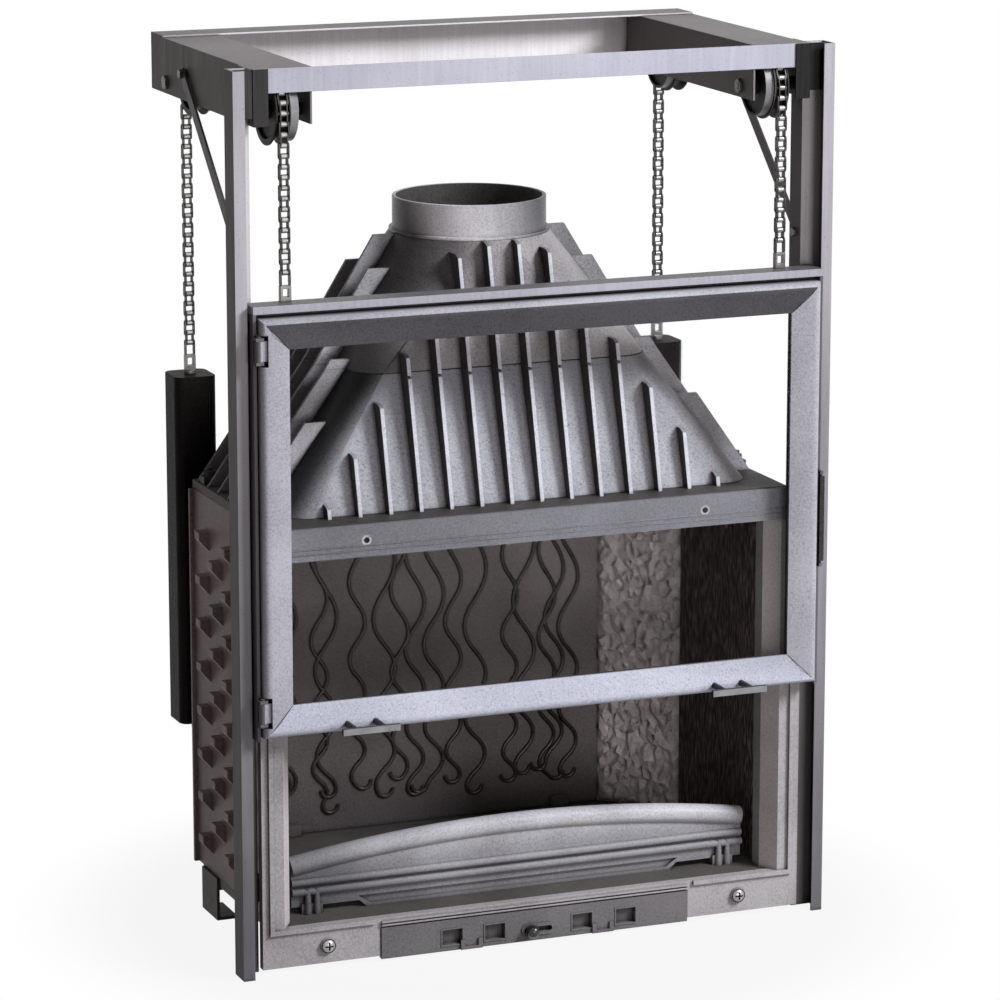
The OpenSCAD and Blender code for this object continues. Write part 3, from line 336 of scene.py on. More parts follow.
def painted_corner_shade(tree, colour, reach=0.010):
    """Painted shade: darkens the colour where two faces meet, as shade falls in corners."""
    darkest = 0.3
    nook = tree.nodes.new("ShaderNodeAmbientOcclusion")
    nook.samples = 6
    nook.inputs["Distance"].default_value = reach
    shade = ramp(tree, nook.outputs["AO"],
                 [(0.35, (darkest, darkest * 0.92, darkest * 0.9)), (0.8, (1.0, 1.0, 1.0))])
    return layered(tree, shade, colour)


def painted_light_along(tree, place, colour, steps, along=(0.0, 0.0, 1.0)):
    """Painted light and shade along a direction: pairs of metres along it and the share of the colour kept there."""
    if not steps:
        return colour
    reach = tree.nodes.new("ShaderNodeVectorMath")
    reach.operation = "DOT_PRODUCT"
    reach.inputs[1].default_value = along
    tree.links.new(place.outputs["Object"], reach.inputs[0])
    return layered(tree, ramp(tree, reach.outputs["Value"], [(d, (share,) * 3) for d, share in steps]), colour)


def painted_sheet(name, dark, light, rough, gloss=0.08, steps=()):
    """Sprayed steel sheet: a faint brushing under the paint, slow clouds of tone and sparse dust nibs, with painted
    shade where faces meet and painted light and shade by height.
    """
    finish, tree, shader, place = new_finish(name)
    shader.inputs["Specular IOR Level"].default_value = gloss
    brushed = grain(tree, place, 240.0, 4.0, (1.0, 1.0, 0.035))
    cloud = grain(tree, place, 4.0, 3.0)
    tone = ramp(tree, sum_of(tree, brushed, 0.5, cloud), [(0.55, dark), (0.95, light)])
    nibs = ramp(tree, grain(tree, place, 420.0, 1.0), [(0.27, (0.8, 0.78, 0.78)), (0.36, (1.0, 1.0, 1.0))])
    colour = painted_corner_shade(tree, painted_light_along(tree, place, layered(tree, tone, nibs), steps))
    tree.links.new(colour, shader.inputs["Base Color"])
    sheen = ramp(tree, brushed, [(0.3, (rough - 0.08,) * 3), (0.7, (rough + 0.1,) * 3)])
    tree.links.new(sheen, shader.inputs["Roughness"])
    relief(tree, shader, grain(tree, place, 500.0, 2.0), 0.15, 0.0005)
    return finish


# Painted light and shade: the rails' sides are painted dark as if in shade, the fronts and the rear fold lighter as
# if lit, and all grow darker towards the foot.
rail_shaded_paint = painted_sheet("rail_shaded_paint", (0.125, 0.108, 0.11), (0.19, 0.168, 0.173), 0.42, gloss=0.06,
                           steps=((0.1, 0.14), (0.36, 0.3), (0.6, 0.5), (0.95, 1.0)))
front_painted_falloff = ((0.12, 0.36), (0.36, 0.56), (0.6, 0.62), (0.72, 0.78), (0.84, 0.94), (1.0, 1.0))
rail_front_lit = painted_sheet("rail_front_painted_light", (0.34, 0.32, 0.345), (0.48, 0.46, 0.495), 0.36, steps=front_painted_falloff)
rail_fold_lit = painted_sheet("rail_rear_fold_painted_light", (0.55, 0.52, 0.54), (0.7, 0.67, 0.7), 0.36, steps=front_painted_falloff)
for node in ("rail_left", "rail_right"):
    rail = finished_copy(node, rail_shaded_paint, 0.0008)
    repaint(rail, rail_front_lit, lambda c, n: n.y < -0.6 and c.y < -0.178)
    repaint(rail, rail_fold_lit, lambda c, n: n.y < -0.9 and -0.158 < c.y < -0.145)

# Top frame
# Two folded side channels and a back plate, bent over them, carry the chain wheels. A bright cross bar joins the
# channels in front, and dark angles are bolted into the two front corners.
channel_paint = painted_sheet("channel_paint", (0.17, 0.152, 0.152), (0.25, 0.228, 0.23), 0.45)
# The back plate's inner face is painted much lighter than the channels, a painted light.
plate_lit_paint = painted_sheet("back_plate_inner_painted_light", (0.66, 0.625, 0.64), (0.84, 0.8, 0.82), 0.45)
bar_paint = painted_sheet("cross_bar_paint", (0.40, 0.39, 0.46), (0.52, 0.51, 0.58), 0.38)
angle_paint = painted_sheet("corner_angle_paint", (0.008, 0.007, 0.007), (0.018, 0.016, 0.016), 0.35, gloss=0.15)
for node in ("top_channel_left", "top_channel_right", "top_back_plate"):
    channel = finished_copy(node, channel_paint, 0.0006)
    if "back" in node:
        repaint(channel, plate_lit_paint, lambda c, n: n.y < -0.9)
front_bar = finished_copy("top_front_bar", bar_paint, 0.0006)
angles = finished_copy("corner_angles", angle_paint, 0.0006)

# Braces
# A flat steel strip runs from each top channel down to its rail and keeps the frame square. It is held by one
# hexagon bolt at each end and has the same dark paint as the corner angles.
brace_paint = painted_sheet("brace_paint", (0.045, 0.036, 0.035), (0.08, 0.068, 0.066), 0.4, gloss=0.15)
for node in ("brace_left", "brace_right"):
    brace = finished_copy(node, brace_paint, 0.0005)


def machined(name, dark, light, rough, metal):
    """Turned or drawn steel with fine tool marks and a film of oil."""
    finish, tree, shader, place = new_finish(name)
    shader.inputs["Metallic"].default_value = metal
    fine = grain(tree, place, 700.0, 2.0, (0.2, 1.0, 1.0))
    film = grain(tree, place, 40.0, 3.0)
    tone = ramp(tree, sum_of(tree, fine, 0.4, film), [(0.45, dark), (0.85, light)])
    tree.links.new(tone, shader.inputs["Base Color"])
    sheen = ramp(tree, film, [(0.3, (rough - 0.08,) * 3), (0.7, (rough + 0.12,) * 3)])
    tree.links.new(sheen, shader.inputs["Roughness"])
    relief(tree, shader, fine, 0.1, 0.0003)
    return finish


bolt_steel = machined("bolt_steel", (0.06, 0.055, 0.053), (0.13, 0.122, 0.12), 0.35, 0.4)
bolts = finished_copy("brace_bolts", bolt_steel, 0.0005)

# Chain wheels
# Four turned iron wheels run on bolts through the top channels, with spacer sleeves beside them. The faces are
# left dark from the casting, and the smooth drum beside the chain's track is turned bright.
axle_height = 1.087
drum_start = 0.3225
drum_inside = 0.036


def behind_front(distance):
    """Depth in the scene of a place that many millimetres behind the rails' front."""
    return (distance - 181.5) / 1000.0


front_axle = Vector((0.0, behind_front(54.0), axle_height))
rear_axle = Vector((0.0, behind_front(355.0), axle_height))


def cast_paint(name, dark, light, rough, grit, gloss=0.08, pits=0.75, shade_reach=0.010, steps=(), across=(),
               along=(1.0, 0.0, 0.0)):
    """Painted cast iron: sand grain, soft clouds, small pits and an uneven shine, with painted shade where faces
    meet and painted light and shade by height and along a line.
    """
    finish, tree, shader, place = new_finish(name)
    shader.inputs["Specular IOR Level"].default_value = gloss
    speck = grain(tree, place, 330.0, 2.0)
    cloud = grain(tree, place, 8.0, 3.0)
    tone = ramp(tree, sum_of(tree, speck, 0.7, cloud), [(0.6, dark), (1.0, light)])
    pit = ramp(tree, grain(tree, place, 520.0, 1.0), [(0.30, (pits,) * 3), (0.44, (1.0, 1.0, 1.0))])
    light_shaded = painted_light_along(tree, place, painted_light_along(tree, place, layered(tree, tone, pit), steps), across, along)
    tree.links.new(painted_corner_shade(tree, light_shaded, shade_reach), shader.inputs["Base Color"])
    sheen = ramp(tree, speck, [(0.3, (rough - 0.1,) * 3), (0.7, (rough + 0.1,) * 3)])
    tree.links.new(sheen, shader.inputs["Roughness"])
    relief(tree, shader, sum_of(tree, speck, 0.6, grain(tree, place, 70.0, 2.0)), grit, 0.0012)
    return finish


wheel_iron = cast_paint("wheel_iron", (0.018, 0.016, 0.016), (0.045, 0.04, 0.039), 0.45, 0.2)
wheel_drum = machined("wheel_drum_steel", (0.13, 0.125, 0.13), (0.22, 0.213, 0.22), 0.38, 0.1)
for node in ("wheel_front_left", "wheel_front_right", "wheel_rear_left", "wheel_rear_right"):
    axle = front_axle if "front" in node else rear_axle
    wheel = finished_copy(node, wheel_iron, 0.0006)
    repaint(wheel, wheel_drum, lambda c, n: math.hypot(c.y - axle.y, c.z - axle.z) > drum_inside
            and abs(c.x) < drum_start and abs(n.x) < 0.9)
axles = finished_copy("wheel_axles", bolt_steel, 0.0005)
sleeves = finished_copy("axle_sleeves", wheel_iron, 0.0005)

# Chains
# Two half-inch roller chains carry the door: pairs of dark side plates, riveted over brighter rollers. Each runs
# from the carriage over both wheels to its counterweight and is pinned to a fork at either end.
chain_pitch = 0.0127
chain_half = 0.0065
plate_sheet = 0.0014
plate_height = 0.0078
chain_place = 0.332
roller_radius = 0.0036
rivet_radius = 0.0016
front_chain = behind_front(13.0)
rear_chain = behind_front(396.0)
wheel_radius = 0.041
plate_steel = machined("chain_plate_steel", (0.008, 0.007, 0.0065), (0.026, 0.023, 0.021), 0.42, 0.2)
roller_steel = machined("chain_roller_steel", (0.2, 0.19, 0.18), (0.36, 0.35, 0.34), 0.3, 0.6)


def chain_link(name, offset):
    """One link between two pins: its two plates, and the roller and rivet at its lower pin."""
    bpy.ops.object.select_all(action="DESELECT")
    made = []
    for side in (-1.0, 1.0):
        bpy.ops.mesh.primitive_cube_add(size=1.0, location=(side * offset, 0.0, chain_pitch / 2.0))
        plate = bpy.context.object
        plate.scale = (plate_sheet, plate_height, chain_pitch + plate_height * 0.9)
        bpy.ops.object.transform_apply(location=True, rotation=True, scale=True)
        choose(plate, "EDGE", lambda a, b: abs(a.x - b.x) > plate_sheet / 2.0)
        bpy.ops.mesh.bevel(offset=plate_height * 0.4, segments=2, affect="EDGES")
        bpy.ops.object.mode_set(mode="OBJECT")
        plate.data.materials.append(plate_steel)
        made.append(plate)
    for radius, half, sides in ((roller_radius, roller_radius, 10), (rivet_radius, chain_half, 6)):
        bpy.ops.mesh.primitive_cylinder_add(vertices=sides, radius=radius, depth=2.0 * half,
                                            rotation=(0.0, math.pi / 2.0, 0.0))
        pin = bpy.context.object
        bpy.ops.object.transform_apply(location=True, rotation=True, scale=True)
        pin.data.materials.append(roller_steel)
        made.append(pin)
    bpy.ops.object.select_all(action="DESELECT")
    for piece in made:
        piece.select_set(True)
    bpy.context.view_layer.objects.active = made[0]
    bpy.ops.object.join()
    bpy.ops.object.shade_smooth_by_angle(angle=math.radians(40.0))
    link = bpy.context.object
    link.name = name
    return link


outer_link = chain_link("outer_link", chain_half - plate_sheet / 2.0)
inner_link = chain_link("inner_link", chain_half - plate_sheet * 1.6)


def chain_length(name, side, pins, first, last):
    """The links between the pins from first to last, joined to one piece."""
    bpy.ops.object.select_all(action="DESELECT")
    copies = []
    for i in range(first, last):
        model = outer_link if i % 2 else inner_link
        (y0, z0), (y1, z1) = pins[i], pins[i + 1]
        run = Vector((0.0, y1 - y0, z1 - z0))
        turn = across = Matrix.Identity(4)
        if abs(run.y) > 1e-9 or run.z < 0:
            turn = run.to_track_quat("Z", "X").to_matrix().to_4x4()
        if abs((turn @ Vector((1.0, 0.0, 0.0))).x) < 0.5:
            across = Matrix.Rotation(math.pi / 2.0, 4, "Z")
        stretch = Matrix.Diagonal((1.0, 1.0, run.length / chain_pitch, 1.0))
        copy = bpy.data.objects.new(name, model.data.copy())
        copy.data.transform(Matrix.Translation((side * chain_place, y0, z0)) @ turn @ across @ stretch)
        bpy.context.scene.collection.objects.link(copy)
        copy.select_set(True)
        copies.append(copy)
    bpy.context.view_layer.objects.active = copies[0]
    bpy.ops.object.join()
    piece = bpy.context.object
    piece.name = name
    return piece


top_pins = []
top_links = 34
straight = rear_chain - front_chain - 2.0 * wheel_radius
whole = math.pi * wheel_radius + straight
bend = math.pi / 2.0 * wheel_radius
for i in range(top_links + 1):
    s = whole * i / top_links
    if s < bend:
        a = s / wheel_radius
        top_pins.append((front_chain + wheel_radius * (1.0 - math.cos(a)), axle_height + wheel_radius * math.sin(a)))
    elif s < bend + straight:
        top_pins.append((front_chain + wheel_radius + s - bend, axle_height + wheel_radius))
    else:
        a = (s - bend - straight) / wheel_radius
        top_pins.append((rear_chain - wheel_radius * (1.0 - math.sin(a)), axle_height + wheel_radius * math.cos(a)))

end_gap = 0.003
runs = (("front", front_chain, 0.877, 16), ("rear", rear_chain, 0.725, 28))
for word, side in (("left", -1.0), ("right", 1.0)):
    top_run = chain_length("chain_top_links_" + word, side, top_pins, 0, top_links)
    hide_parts("chain_top_" + word)
    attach(top_run, "insert")
    for end, y, low, count in runs:
        step = (axle_height - low - end_gap) / count
        pins = [(y, axle_height - i * step) for i in range(count + 1)]
        fifth = round(count / 5)
        thirds = ((0, fifth, 0.0, 0.667), (fifth, count - fifth, -0.25, 1.25), (count - fifth, count, 0.333, 1.0))
        for number, (first, last, start, stop) in enumerate(thirds):
            piece = chain_length(f"chain_{end}_links_{word}_{number}", side, pins, first, last)
            reach = axle_height - low
            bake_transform(piece)
            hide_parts(f"chain_{end}_{word}")
for model in (outer_link, inner_link):
    bpy.data.objects.remove(model)

# Counterweights
# Two long iron bars with rounded corners hang behind the firebox and balance the door. They are cast, dipped in
# black paint, and each carries a fork for its chain and a stud with a lock nut below.
weight_black = cast_paint("weight_black", (0.008, 0.006, 0.006), (0.020, 0.016, 0.016), 0.45, 0.25, gloss=0.03,
                          pits=0.85)
for node in ("counterweight_left", "counterweight_right"):
    weight = finished_copy(node, weight_black, 0.0018, steps=3)
fork_steel = machined("fork_steel", (0.1, 0.095, 0.09), (0.2, 0.19, 0.185), 0.35, 0.5)
for node in ("weight_clevis_left", "weight_clevis_right", "carriage_clevises"):
    fork = finished_copy(node, fork_steel, 0.0006)

# Carriage
# The carriage is a light steel strip over the door, with a slim stile down each side that carries the hinge and
# latch lugs. Dark guide shoes on the stiles slide inside the rails.
carriage_paint = painted_sheet("carriage_paint", (0.32, 0.31, 0.35), (0.42, 0.41, 0.46), 0.36)
stile_paint = painted_sheet("stile_paint", (0.10, 0.094, 0.10), (0.17, 0.16, 0.17), 0.4)
carriage_bar = finished_copy("carriage_bar", carriage_paint, 0.0006)
repaint(carriage_bar, stile_paint, lambda c, n: abs(n.z) > 0.8)
stiles = finished_copy("carriage_stiles", stile_paint, 0.0005)
shoe_plastic = cast_paint("shoe_black", (0.02, 0.018, 0.018), (0.04, 0.036, 0.036), 0.45, 0.1)
shoes = finished_copy("guide_shoes", shoe_plastic, 0.001)

# Door frame
# One iron casting like a picture frame: rounded outside, a flat ridge, and a face that slopes back to the glass.
# Its corners show a fine mitre line, the lower member carries a painted highlight and the upper one painted
# shade, and the pins at the left are steel.
door_half = 0.376
door_low = 0.317
door_high = 0.842
door_border = 0.039
door_face = behind_front(-24.0)
door_paint = cast_paint("door_frame_paint", (0.31, 0.302, 0.335), (0.43, 0.42, 0.465), 0.42, 0.3, gloss=0.12,
                        pits=0.7)
# The lower member's sloping face gets a lighter paint, a painted highlight; the upper member's a darker one, a
# painted shade.
door_lower_lit = cast_paint("door_frame_lower_painted_light", (0.43, 0.435, 0.51), (0.55, 0.555, 0.64), 0.4, 0.35, gloss=0.15,
                       pits=0.66)
door_upper_shade = cast_paint("door_frame_upper", (0.06, 0.056, 0.063), (0.09, 0.084, 0.095), 0.42, 0.35, gloss=0.06,
                       pits=0.7)
door_back = cast_paint("door_frame_back", (0.09, 0.085, 0.088), (0.15, 0.142, 0.15), 0.5, 0.3)
mitres = [((across * door_half, 0.0, z), (1.0, 0.0, rise)) for across, z, rise in
          ((-1.0, door_low, -1.0), (1.0, door_low, 1.0), (-1.0, door_high, 1.0), (1.0, door_high, -1.0))]
door_frame = finished_copy("door_frame", door_paint, 0.0007, smooth=40.0, cuts=mitres)
repaint(door_frame, door_lower_lit, lambda c, n: c.z < door_low + door_border - 0.001 and n.y < -0.55
        and abs(c.x) < door_half - (c.z - door_low) + 0.0005)
repaint(door_frame, door_upper_shade, lambda c, n: c.z > door_high - door_border + 0.001 and n.y < -0.55
        and abs(c.x) < door_half - (door_high - c.z) + 0.0005 and n.z < 0.25)
repaint(door_frame, door_back, lambda c, n: n.y > 0.5)
repaint(door_frame, stile_paint, lambda c, n: abs(c.x) > door_half + 0.0005)


def wire(name, points, radius, finish, sides=1, closed=False):
    """A thin round bead along a line of points."""
    path = bpy.data.curves.new(name, "CURVE")
    path.dimensions = "3D"
    path.bevel_depth = radius
    path.bevel_resolution = sides
    path.use_fill_caps = True
    line = path.splines.new("POLY")
    line.points.add(len(points) - 1)
    line.use_cyclic_u = closed
    for point, spot in zip(points, line.points):
        spot.co = (*point, 1.0)
    holder = bpy.data.objects.new(name, path)
    bpy.context.scene.collection.objects.link(holder)
    bpy.ops.object.select_all(action="DESELECT")
    holder.select_set(True)
    bpy.context.view_layer.objects.active = holder
    bpy.ops.object.convert(target="MESH")
    piece = bpy.context.object
    piece.data.materials.clear()
    piece.data.materials.append(finish)
    bpy.ops.object.shade_smooth_by_angle(angle=math.radians(60.0))
    return piece


seam_dark_and_recess_shade = cast_paint("seam_dark_and_recess_shade", (0.015, 0.013, 0.013), (0.03, 0.027, 0.027), 0.6, 0.1)
spots = ((0.004, 0.0016), (0.008, 0.0001), (0.019, 0.0001), (0.030, 0.0045), (0.0385, 0.0078))
for number, (across, z, rise) in enumerate(((-1.0, door_low, 1.0), (1.0, door_low, 1.0),
                                             (-1.0, door_high, -1.0), (1.0, door_high, -1.0))):
    line = [Vector((across * (door_half - d), door_face + deep, z + rise * d)) for d, deep in spots]
    seam = wire(f"door_mitre_line_{number}", line, 0.00035, seam_dark_and_recess_shade)
    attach(seam, "door")
pins = finished_copy("hinge_pins", stile_paint, 0.0004)

# Door glass
# A single pane of heat-proof glass lies in the frame's rebate on a sealing rope. A thin steel angle, screwed to
# the back of the frame, holds it there.
pane_glass, tree, shader, place = new_finish("door_glass_clear")
shader.inputs["Base Color"].default_value = (0.96, 0.98, 0.98, 1.0)
shader.inputs["IOR"].default_value = 1.01
shader.inputs["Transmission Weight"].default_value = 1.0
shader.inputs["Alpha"].default_value = 0.1
shader.inputs["Roughness"].default_value = 0.0
pane = finished_copy("door_glass", pane_glass, 0.0)
retainer_paint = painted_sheet("retainer_paint", (0.05, 0.045, 0.045), (0.10, 0.093, 0.093), 0.4)
retainer = finished_copy("glass_retainer", retainer_paint, 0.0005)
rope_grey, tree, shader, place = new_finish("rope_grey")
twist = tree.nodes.new("ShaderNodeTexWave")
twist.bands_direction = "DIAGONAL"
twist.inputs["Scale"].default_value = 90.0
twist.inputs["Distortion"].default_value = 2.0
tree.links.new(place.outputs["Object"], twist.inputs["Vector"])
tree.links.new(ramp(tree, twist.outputs["Fac"], [(0.2, (0.02, 0.02, 0.02)), (0.8, (0.07, 0.07, 0.07))]),
               shader.inputs["Base Color"])
shader.inputs["Roughness"].default_value = 0.9
relief(tree, shader, twist.outputs["Fac"], 0.6, 0.001)
gasket = finished_copy("door_gasket", rope_grey, 0.0012, steps=3)

# Handles and latch
# Two short flat bars stand on dark studs in front of the door's lower member, brushed bright on the front.
# The latch is a slim black strip that turns on its pin beside the door's right edge.
bar_bright = machined("handle_bar_steel", (0.15, 0.148, 0.15), (0.25, 0.247, 0.25), 0.36, 0.2)
stud_black = cast_paint("stud_black", (0.02, 0.018, 0.018), (0.05, 0.045, 0.045), 0.35, 0.1)
handles = finished_copy("door_handles", stud_black, 0.0009, steps=3)
handle_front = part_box("door_handles")[0].y
bar_round = 0.0035
repaint(handles, bar_bright, lambda c, n: c.y < handle_front + bar_round and n.y < -0.2)
latch = finished_copy("door_latch", stud_black, 0.0005)

# Front frame
# The firebox's face is an iron frame round the hearth opening, with a raised bead down each side and reveals that
# run back into the firebox. It is painted the same grey as the hood, with painted shade where faces meet, and the
# splayed reveals are painted lighter, a painted light.
frame_paint = cast_paint("front_frame_paint", (0.30, 0.279, 0.286), (0.44, 0.414, 0.428), 0.5, 0.3)
front_frame = finished_copy("front_frame", frame_paint, 0.0007)
splay_lit_paint = cast_paint("front_frame_splay_painted_light", (0.42, 0.375, 0.378), (0.58, 0.525, 0.53), 0.5, 0.3)
repaint(front_frame, splay_lit_paint, lambda c, n: 0.7 < abs(n.x) < 0.95 and n.y < -0.4 and abs(c.x) < 0.345)

# Lintel
# A flat iron strip closes the top of the hearth opening. Two countersunk screws hold it, and two fine ribs are
# cast along its lower edge. The pan-head screws below fix the front frame to the firebox.
lintel_face = behind_front(8.0)
pan_face = behind_front(9.0)
lintel_paint = cast_paint("lintel_paint", (0.15, 0.147, 0.16), (0.22, 0.216, 0.24), 0.45, 0.3)
lintel = finished_copy("lintel", lintel_paint, 0.0007)
for number, z in enumerate((0.5385, 0.5445)):
    bpy.ops.object.select_all(action="DESELECT")
    bpy.ops.mesh.primitive_cylinder_add(vertices=12, radius=0.0011, depth=0.692, end_fill_type="NGON",
                                        location=(0.0, lintel_face + 0.0002, z),
                                        rotation=(0.0, math.pi / 2.0, 0.0))
    rib = bpy.context.object
    rib.name = f"lintel_rib_{number}"
    bpy.ops.object.transform_apply(location=True, rotation=True, scale=True)
    choose(rib, "FACE", lambda c, n: abs(n.x) > 0.9)
    bpy.ops.mesh.bevel(offset=0.0007, segments=2, affect="EDGES")
    bpy.ops.object.mode_set(mode="OBJECT")
    bpy.ops.object.shade_smooth_by_angle(angle=math.radians(50.0))
    rib.data.materials.append(lintel_paint)
    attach(rib, "insert")
screw_steel = machined("screw_steel", (0.24, 0.235, 0.235), (0.42, 0.41, 0.41), 0.3, 0.5)
screws = finished_copy("front_screws", screw_steel, 0.0005)
# Painted shade: the screw sockets and cross recesses here and below are coloured dark.
repaint(screws, seam_dark_and_recess_shade, lambda c, n: n.y < -0.5
        and min(abs(c.y - lintel_face - 0.001), abs(c.y - pan_face - 0.0015)) < 0.0003)
for number, x in enumerate((-0.230, 0.230)):
    bpy.ops.object.select_all(action="DESELECT")
    bpy.ops.mesh.primitive_cylinder_add(vertices=24, radius=0.0036, depth=0.001,
                                        location=(x, lintel_face - 0.0001, 0.551),
                                        rotation=(math.pi / 2.0, 0.0, 0.0))
    socket = bpy.context.object
    socket.name = f"screw_socket_{number}"
    bpy.ops.object.transform_apply(location=True, rotation=True, scale=True)
    choose(socket, "FACE", lambda c, n: n.y < -0.9)
    bpy.ops.mesh.inset(thickness=0.0008, depth=0.0)
    bpy.ops.mesh.inset(thickness=0.0003, depth=-0.0005)
    bpy.ops.object.mode_set(mode="OBJECT")
    bpy.ops.object.shade_smooth_by_angle(angle=math.radians(30.0))
    socket.data.materials.append(seam_dark_and_recess_shade)
    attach(socket, "insert")
pan_height = 0.030
cross_half = 0.0057
for number, x in enumerate((-0.284, 0.284)):
    bpy.ops.object.select_all(action="DESELECT")
    bpy.ops.mesh.primitive_uv_sphere_add(segments=28, ring_count=14, radius=1.0,
                                         location=(x, pan_face + 0.0045, pan_height),
                                         rotation=(math.pi / 2.0, 0.0, 0.0))
    dome = bpy.context.object
    dome.name = f"pan_head_{number}"
    dome.scale = (0.0099, 0.0099, 0.0080)
    bpy.ops.object.transform_apply(location=True, rotation=True, scale=True)
    choose(dome, "FACE", lambda c, n: True)
    bpy.ops.mesh.bisect(plane_co=(0.0, pan_face + 0.005, 0.0), plane_no=(0.0, 1.0, 0.0), clear_outer=True,
                        use_fill=True)
    bpy.ops.object.mode_set(mode="OBJECT")
    for wide, tall in ((0.0112, 0.0021), (0.0021, 0.0112)):
        bpy.ops.object.select_all(action="DESELECT")
        bpy.ops.mesh.primitive_cube_add(size=1.0, location=(x, pan_face - 0.0028, pan_height))
        cutter = bpy.context.object
        cutter.scale = (wide, 0.0050, tall)
        bpy.ops.object.transform_apply(location=True, rotation=True, scale=True)
        bpy.context.view_layer.objects.active = dome
        recess = dome.modifiers.new("recess", "BOOLEAN")
        recess.operation = "DIFFERENCE"
        recess.solver = "EXACT"
        recess.object = cutter
        bpy.ops.object.modifier_apply(modifier="recess")
        bpy.data.objects.remove(cutter, do_unlink=True)
    dome.select_set(True)
    bpy.ops.object.shade_smooth_by_angle(angle=math.radians(40.0))
    dome.data.materials.append(screw_steel)
    repaint(dome, seam_dark_and_recess_shade, lambda c, n: abs(c.x - x) < cross_half and abs(c.z - pan_height) < cross_half
            and (max(abs(n.x), abs(n.z)) > 0.98 or (n.y < -0.99 and c.y > pan_face - 0.0006)))
    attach(dome, "insert")

# Side walls and liners
# The firebox's iron sides carry rows of cast studs outside, which give their heat to the room. Inside they are
# lined with dark plates that show the fine upright streaks of the pressing.
# The right wall is painted darker than the left, a painted shade.
wall_paint = cast_paint("side_wall_paint", (0.25, 0.195, 0.19), (0.41, 0.335, 0.33), 0.45, 0.4,
                        across=((0.1, 1.0), (0.3, 0.42)))
for node in ("side_wall_left", "side_wall_right"):
    wall = finished_copy(node, wall_paint, 0.0009)
liner_dark, tree, shader, place = new_finish("liner_streaked")
shader.inputs["Specular IOR Level"].default_value = 0.2
streak = grain(tree, place, 420.0, 3.0, (1.0, 1.0, 0.13))
tree.links.new(ramp(tree, streak, [(0.46, (0.03, 0.022, 0.021)), (0.74, (0.36, 0.28, 0.26))]),
               shader.inputs["Base Color"])
shader.inputs["Roughness"].default_value = 0.65
relief(tree, shader, streak, 0.5, 0.001)
liners = finished_copy("side_liners", liner_dark, 0.0008)

# Corner walls
# Two iron walls close the rear corners at forty-five degrees. Their inner faces are cast from a crumpled pattern,
# all small facets and creases, which breaks up the glow of the fire.
corner_start = Vector((0.334, behind_front(315.7)))
corner_end = Vector((0.2497, behind_front(400.0)))
corner_low = 0.0575
corner_high = 0.5595
run = corner_end - corner_start
columns, rows = 20, 66
stray_share = 0.85
corner_paint = cast_paint("corner_wall_paint", (0.56, 0.50, 0.50), (0.78, 0.71, 0.71), 0.36, 0.15, gloss=0.3,
                          pits=0.85, shade_reach=0.012)


def crumple(column, row, seed):
    """Height of one corner of the crumpled pattern: a random facet height over slower swells."""
    facet = noise.cell(Vector((column * 1.7 + 0.31, row * 1.3 + 0.17, seed)))
    swell = noise.noise(Vector((column / 4.0, row / 5.0, seed * 3.1)))
    return 0.0008 + 0.0088 * abs(facet) + 0.0022 * abs(swell)


for word, side in (("left", -1.0), ("right", 1.0)):
    wall = finished_copy("corner_wall_" + word, corner_paint, 0.0008)
    bpy.ops.object.select_all(action="DESELECT")
    bpy.ops.mesh.primitive_grid_add(x_subdivisions=columns, y_subdivisions=rows, size=1.0,
                                    location=(0.0, 0.0, 0.0))
    panel = bpy.context.object
    panel.name = "crumpled_panel_" + word
    inward = Vector((-0.7071 * side, -0.7071))
    for corner in panel.data.vertices:
        u, v = corner.co.x + 0.5, corner.co.y + 0.5
        column, row = round(u * columns), round(v * rows)
        lift = 0.0006
        if 0 < column < columns and 0 < row < rows:
            stray = noise.cell_vector(Vector((column + 0.5, row + 0.5, 4.0 + side)))
            u += stray_share * (stray.x - 0.5) / columns
            v += stray_share * (stray.y - 0.5) / rows
            lift = crumple(column, row, 2.0 + side)
        x = side * (corner_start.x + run.x * u) + inward.x * lift
        y = corner_start.y + run.y * u + inward.y * lift
        corner.co = (x, y, corner_low + v * (corner_high - corner_low))
    panel.data.update()
    choose(panel, "FACE", lambda c, n: True)
    bpy.ops.mesh.quads_convert_to_tris(quad_method="SHORTEST_DIAGONAL")
    if sum(face.normal.y for face in panel.data.polygons) > 0.0:
        bpy.ops.mesh.flip_normals()
    bpy.ops.object.mode_set(mode="OBJECT")
    body = panel.modifiers.new("wall", "SOLIDIFY")
    body.thickness = 0.0012
    body.offset = -1.0
    bpy.ops.object.modifier_apply(modifier="wall")
    panel.data.materials.append(corner_paint)
    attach(panel, "insert")

